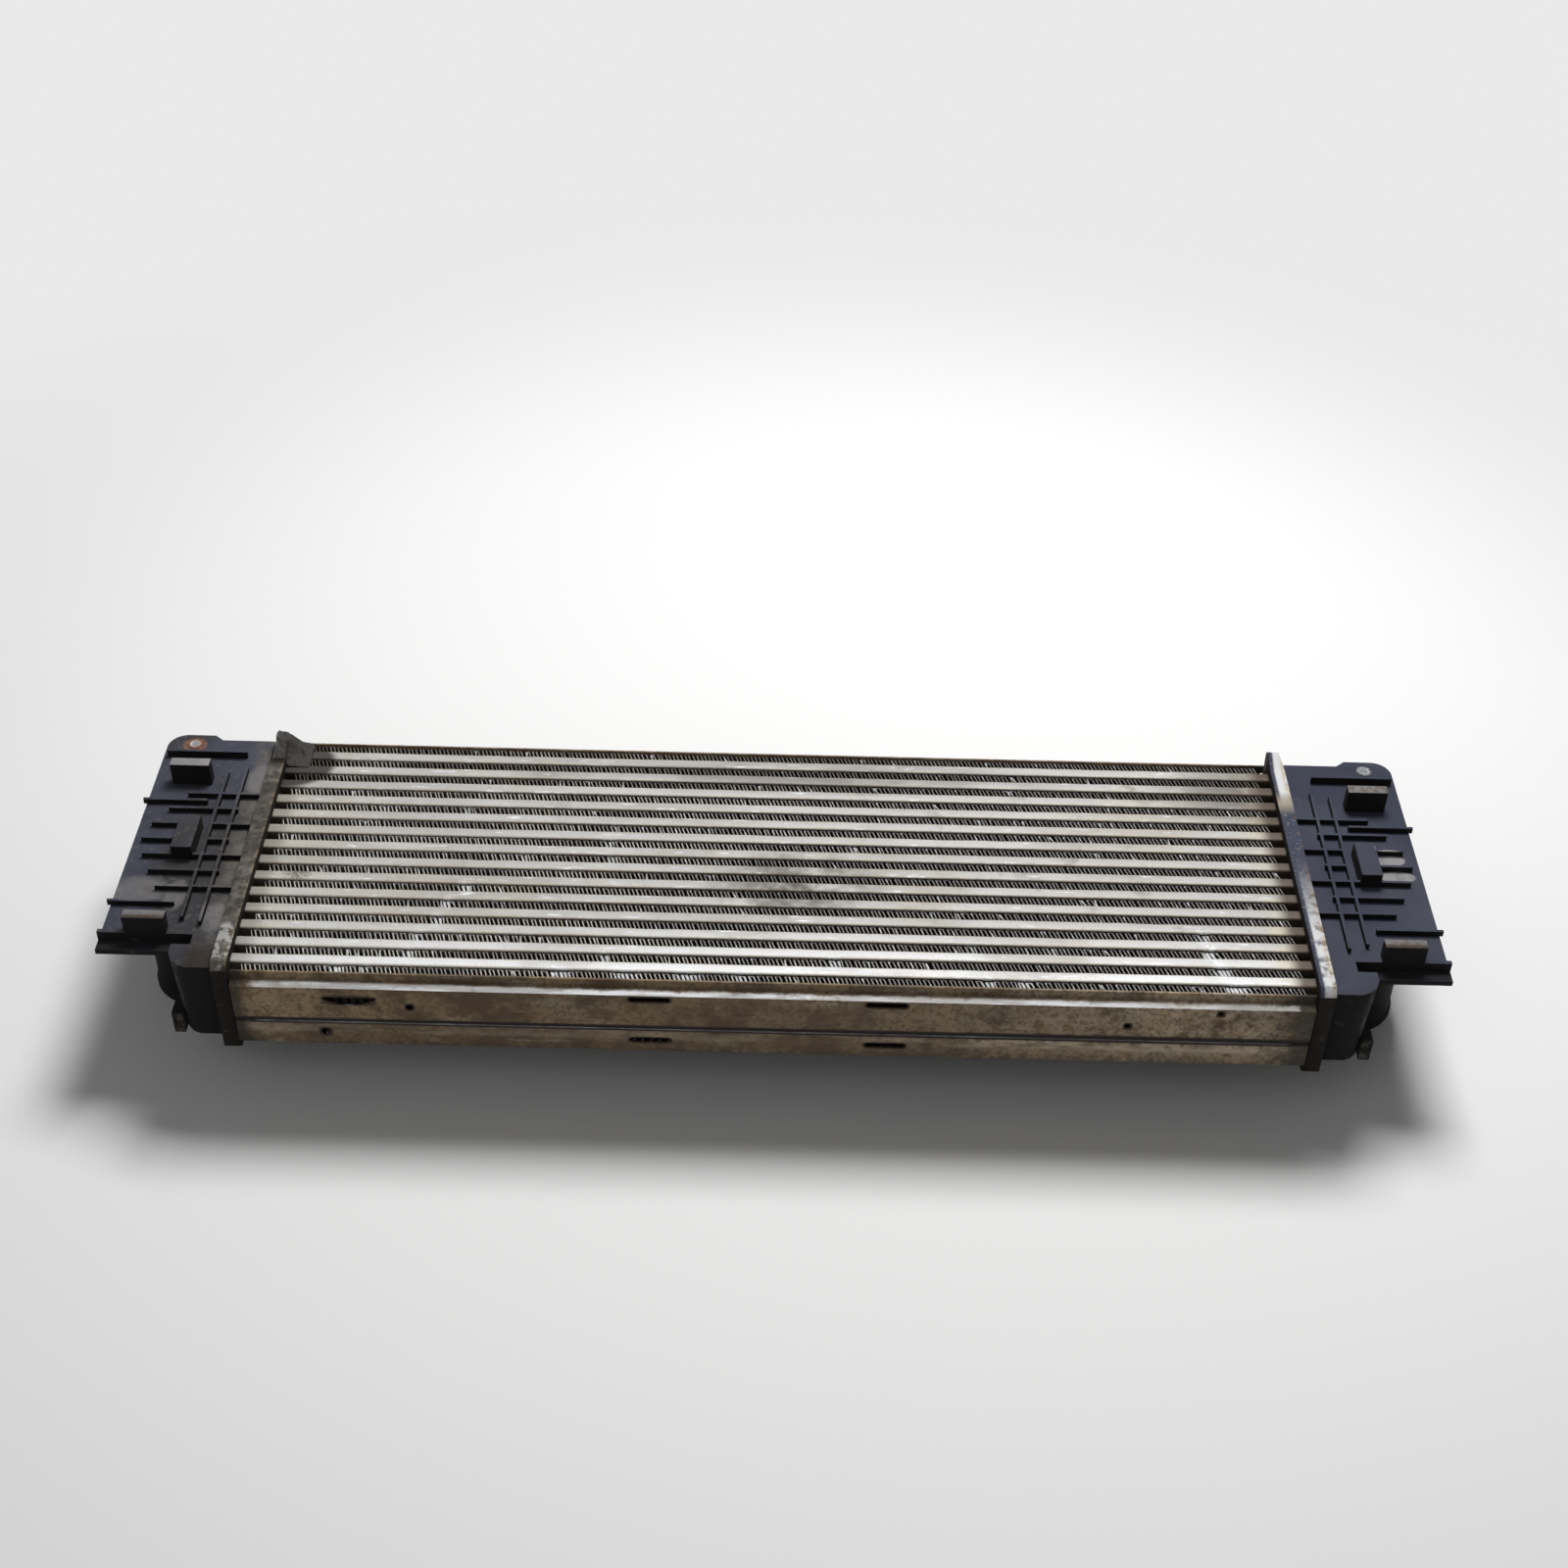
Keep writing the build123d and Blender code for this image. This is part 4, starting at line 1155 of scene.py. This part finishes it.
class COOLER_OT_studio(bpy.types.Operator):
    """Set the floor, the backdrop, the lamps and the camera"""

    bl_idname = "cooler.studio"
    bl_label = "Studio"

    def execute(self, context):
        scene = context.scene
        studio = scene.cooler_studio
        self.build_floor(studio)
        self.set_world(scene, studio)
        self.set_lamps(scene, studio)
        self.set_camera(scene, studio)
        scene.view_settings.view_transform = "Standard"
        return {"FINISHED"}

    @staticmethod
    def build_floor(studio):
        """Level floor that turns into the plain backdrop far from the cooler."""
        finish = Finish("studio_floor")
        x, y, _ = finish.axes()
        seen, grain = finish.seen(), finish.noise(900.0, detail=2.0)
        colour = finish.mix(seen, studio.floor, studio.shown_floor)
        material = finish.wear(Base_Color=colour, Roughness=0.8 + grain * 0.1)
        floor = Wire(finish, finish.shader.outputs[0])
        backdrop = finish.node("ShaderNodeEmission", sockets={"Color": (*studio.backdrop, 1.0)})
        distance = (x * x + y * y) ** 0.5
        faded = distance.rise(studio.clear, studio.clear + studio.fade) * seen
        finish.end("Material Output", finish.blend(faded, floor, backdrop))
        side = studio.half_width
        corners = [(side * x, side * y, 0.0) for x, y in ((-1, -1), (1, -1), (1, 1), (-1, 1))]
        mesh = bpy.data.meshes.new("studio_floor")
        mesh.from_pydata(corners, [], [(0, 1, 2, 3)])
        placed("studio_floor", mesh, material)

    @staticmethod
    def set_world(scene, studio):
        """Soft white light from all round, and the backdrop's colour for the camera."""
        scene.world = bpy.data.worlds.new("studio")
        scene.world.use_nodes = True
        world = Shading(scene.world.node_tree)
        kind = "ShaderNodeBackground"
        light = {"Color": (1.0, 1.0, 1.0, 1.0), "Strength": studio.fill}
        wall = {"Color": (*studio.backdrop, 1.0), "Strength": 1.0}
        shaders = (world.node(kind, sockets=sockets) for sockets in (light, wall))
        world.end("World Output", world.blend(world.seen(), *shaders))

    @staticmethod
    def set_lamps(scene, studio):
        """A soft lamp overhead and a weak, wide one in front, both aimed at the cooler."""
        for name, place, width, part in LAMPS:
            lamp = bpy.data.lights.new(name, "AREA")
            lamp.energy = studio.key * part
            lamp.size = width
            holder = bpy.data.objects.new(name, lamp)
            holder.location = place
            holder.rotation_euler = (-Vector(place)).to_track_quat("-Z", "Y").to_euler()
            scene.collection.objects.link(holder)

    @staticmethod
    def set_camera(scene, studio):
        """The camera in front of the cooler, looking down at it."""
        lens = bpy.data.cameras.new("camera")
        lens.sensor_width = 36.0
        lens.lens = studio.lens
        yaw = Matrix.Rotation(-studio.yaw, 4, "Z")
        pitch = Matrix.Rotation(math.radians(90.0) - studio.pitch, 4, "X")
        roll = Matrix.Rotation(-studio.roll, 4, "Z")
        holder = bpy.data.objects.new("camera", lens)
        holder.matrix_world = Matrix.Translation(studio.camera) @ yaw @ pitch @ roll
        scene.collection.objects.link(holder)
        scene.camera = holder


class COOLER_PT_panel(bpy.types.Panel):
    """Lists the cooler's pieces and their settings"""

    bl_idname = "COOLER_PT_panel"
    bl_label = "Charge-air cooler"
    bl_space_type = "VIEW_3D"
    bl_region_type = "UI"
    bl_category = "Cooler"

    def draw(self, context):
        layout = self.layout
        for operator in OPERATORS:
            layout.operator(operator.bl_idname)
        for name, group in GROUPS.items():
            box = layout.box()
            box.label(text=group.__doc__)
            for setting in group.__annotations__:
                box.prop(getattr(context.scene, name), setting)


GROUPS = {
    "cooler_tubes": CoolerTubes,
    "cooler_fins": CoolerFins,
    "cooler_header": CoolerHeader,
    "cooler_sealer": CoolerSealer,
    "cooler_colours": CoolerColours,
    "cooler_studio": CoolerStudio,
}
OPERATORS = (
    COOLER_OT_tubes,
    COOLER_OT_fins,
    COOLER_OT_header_plates,
    COOLER_OT_side_plates,
    COOLER_OT_end_tanks,
    COOLER_OT_small_parts,
    COOLER_OT_studio,
)
CLASSES = (*GROUPS.values(), *OPERATORS, COOLER_PT_panel)


def register():
    """Makes the cooler's settings, operators and panel known to Blender."""
    for kind in CLASSES:
        bpy.utils.register_class(kind)
    for name, group in GROUPS.items():
        setattr(bpy.types.Scene, name, PointerProperty(type=group))


def unregister():
    """Takes them back out."""
    for name in GROUPS:
        delattr(bpy.types.Scene, name)
    for kind in reversed(CLASSES):
        bpy.utils.unregister_class(kind)


def main():
    """Builds and dresses the cooler, and sets its studio."""
    register()
    bpy.ops.cooler.tubes()
    bpy.ops.cooler.fins()
    bpy.ops.cooler.header_plates()
    bpy.ops.cooler.side_plates()
    bpy.ops.cooler.end_tanks()
    bpy.ops.cooler.small_parts()
    bpy.ops.cooler.studio()


if __name__ == "__main__":
    main()
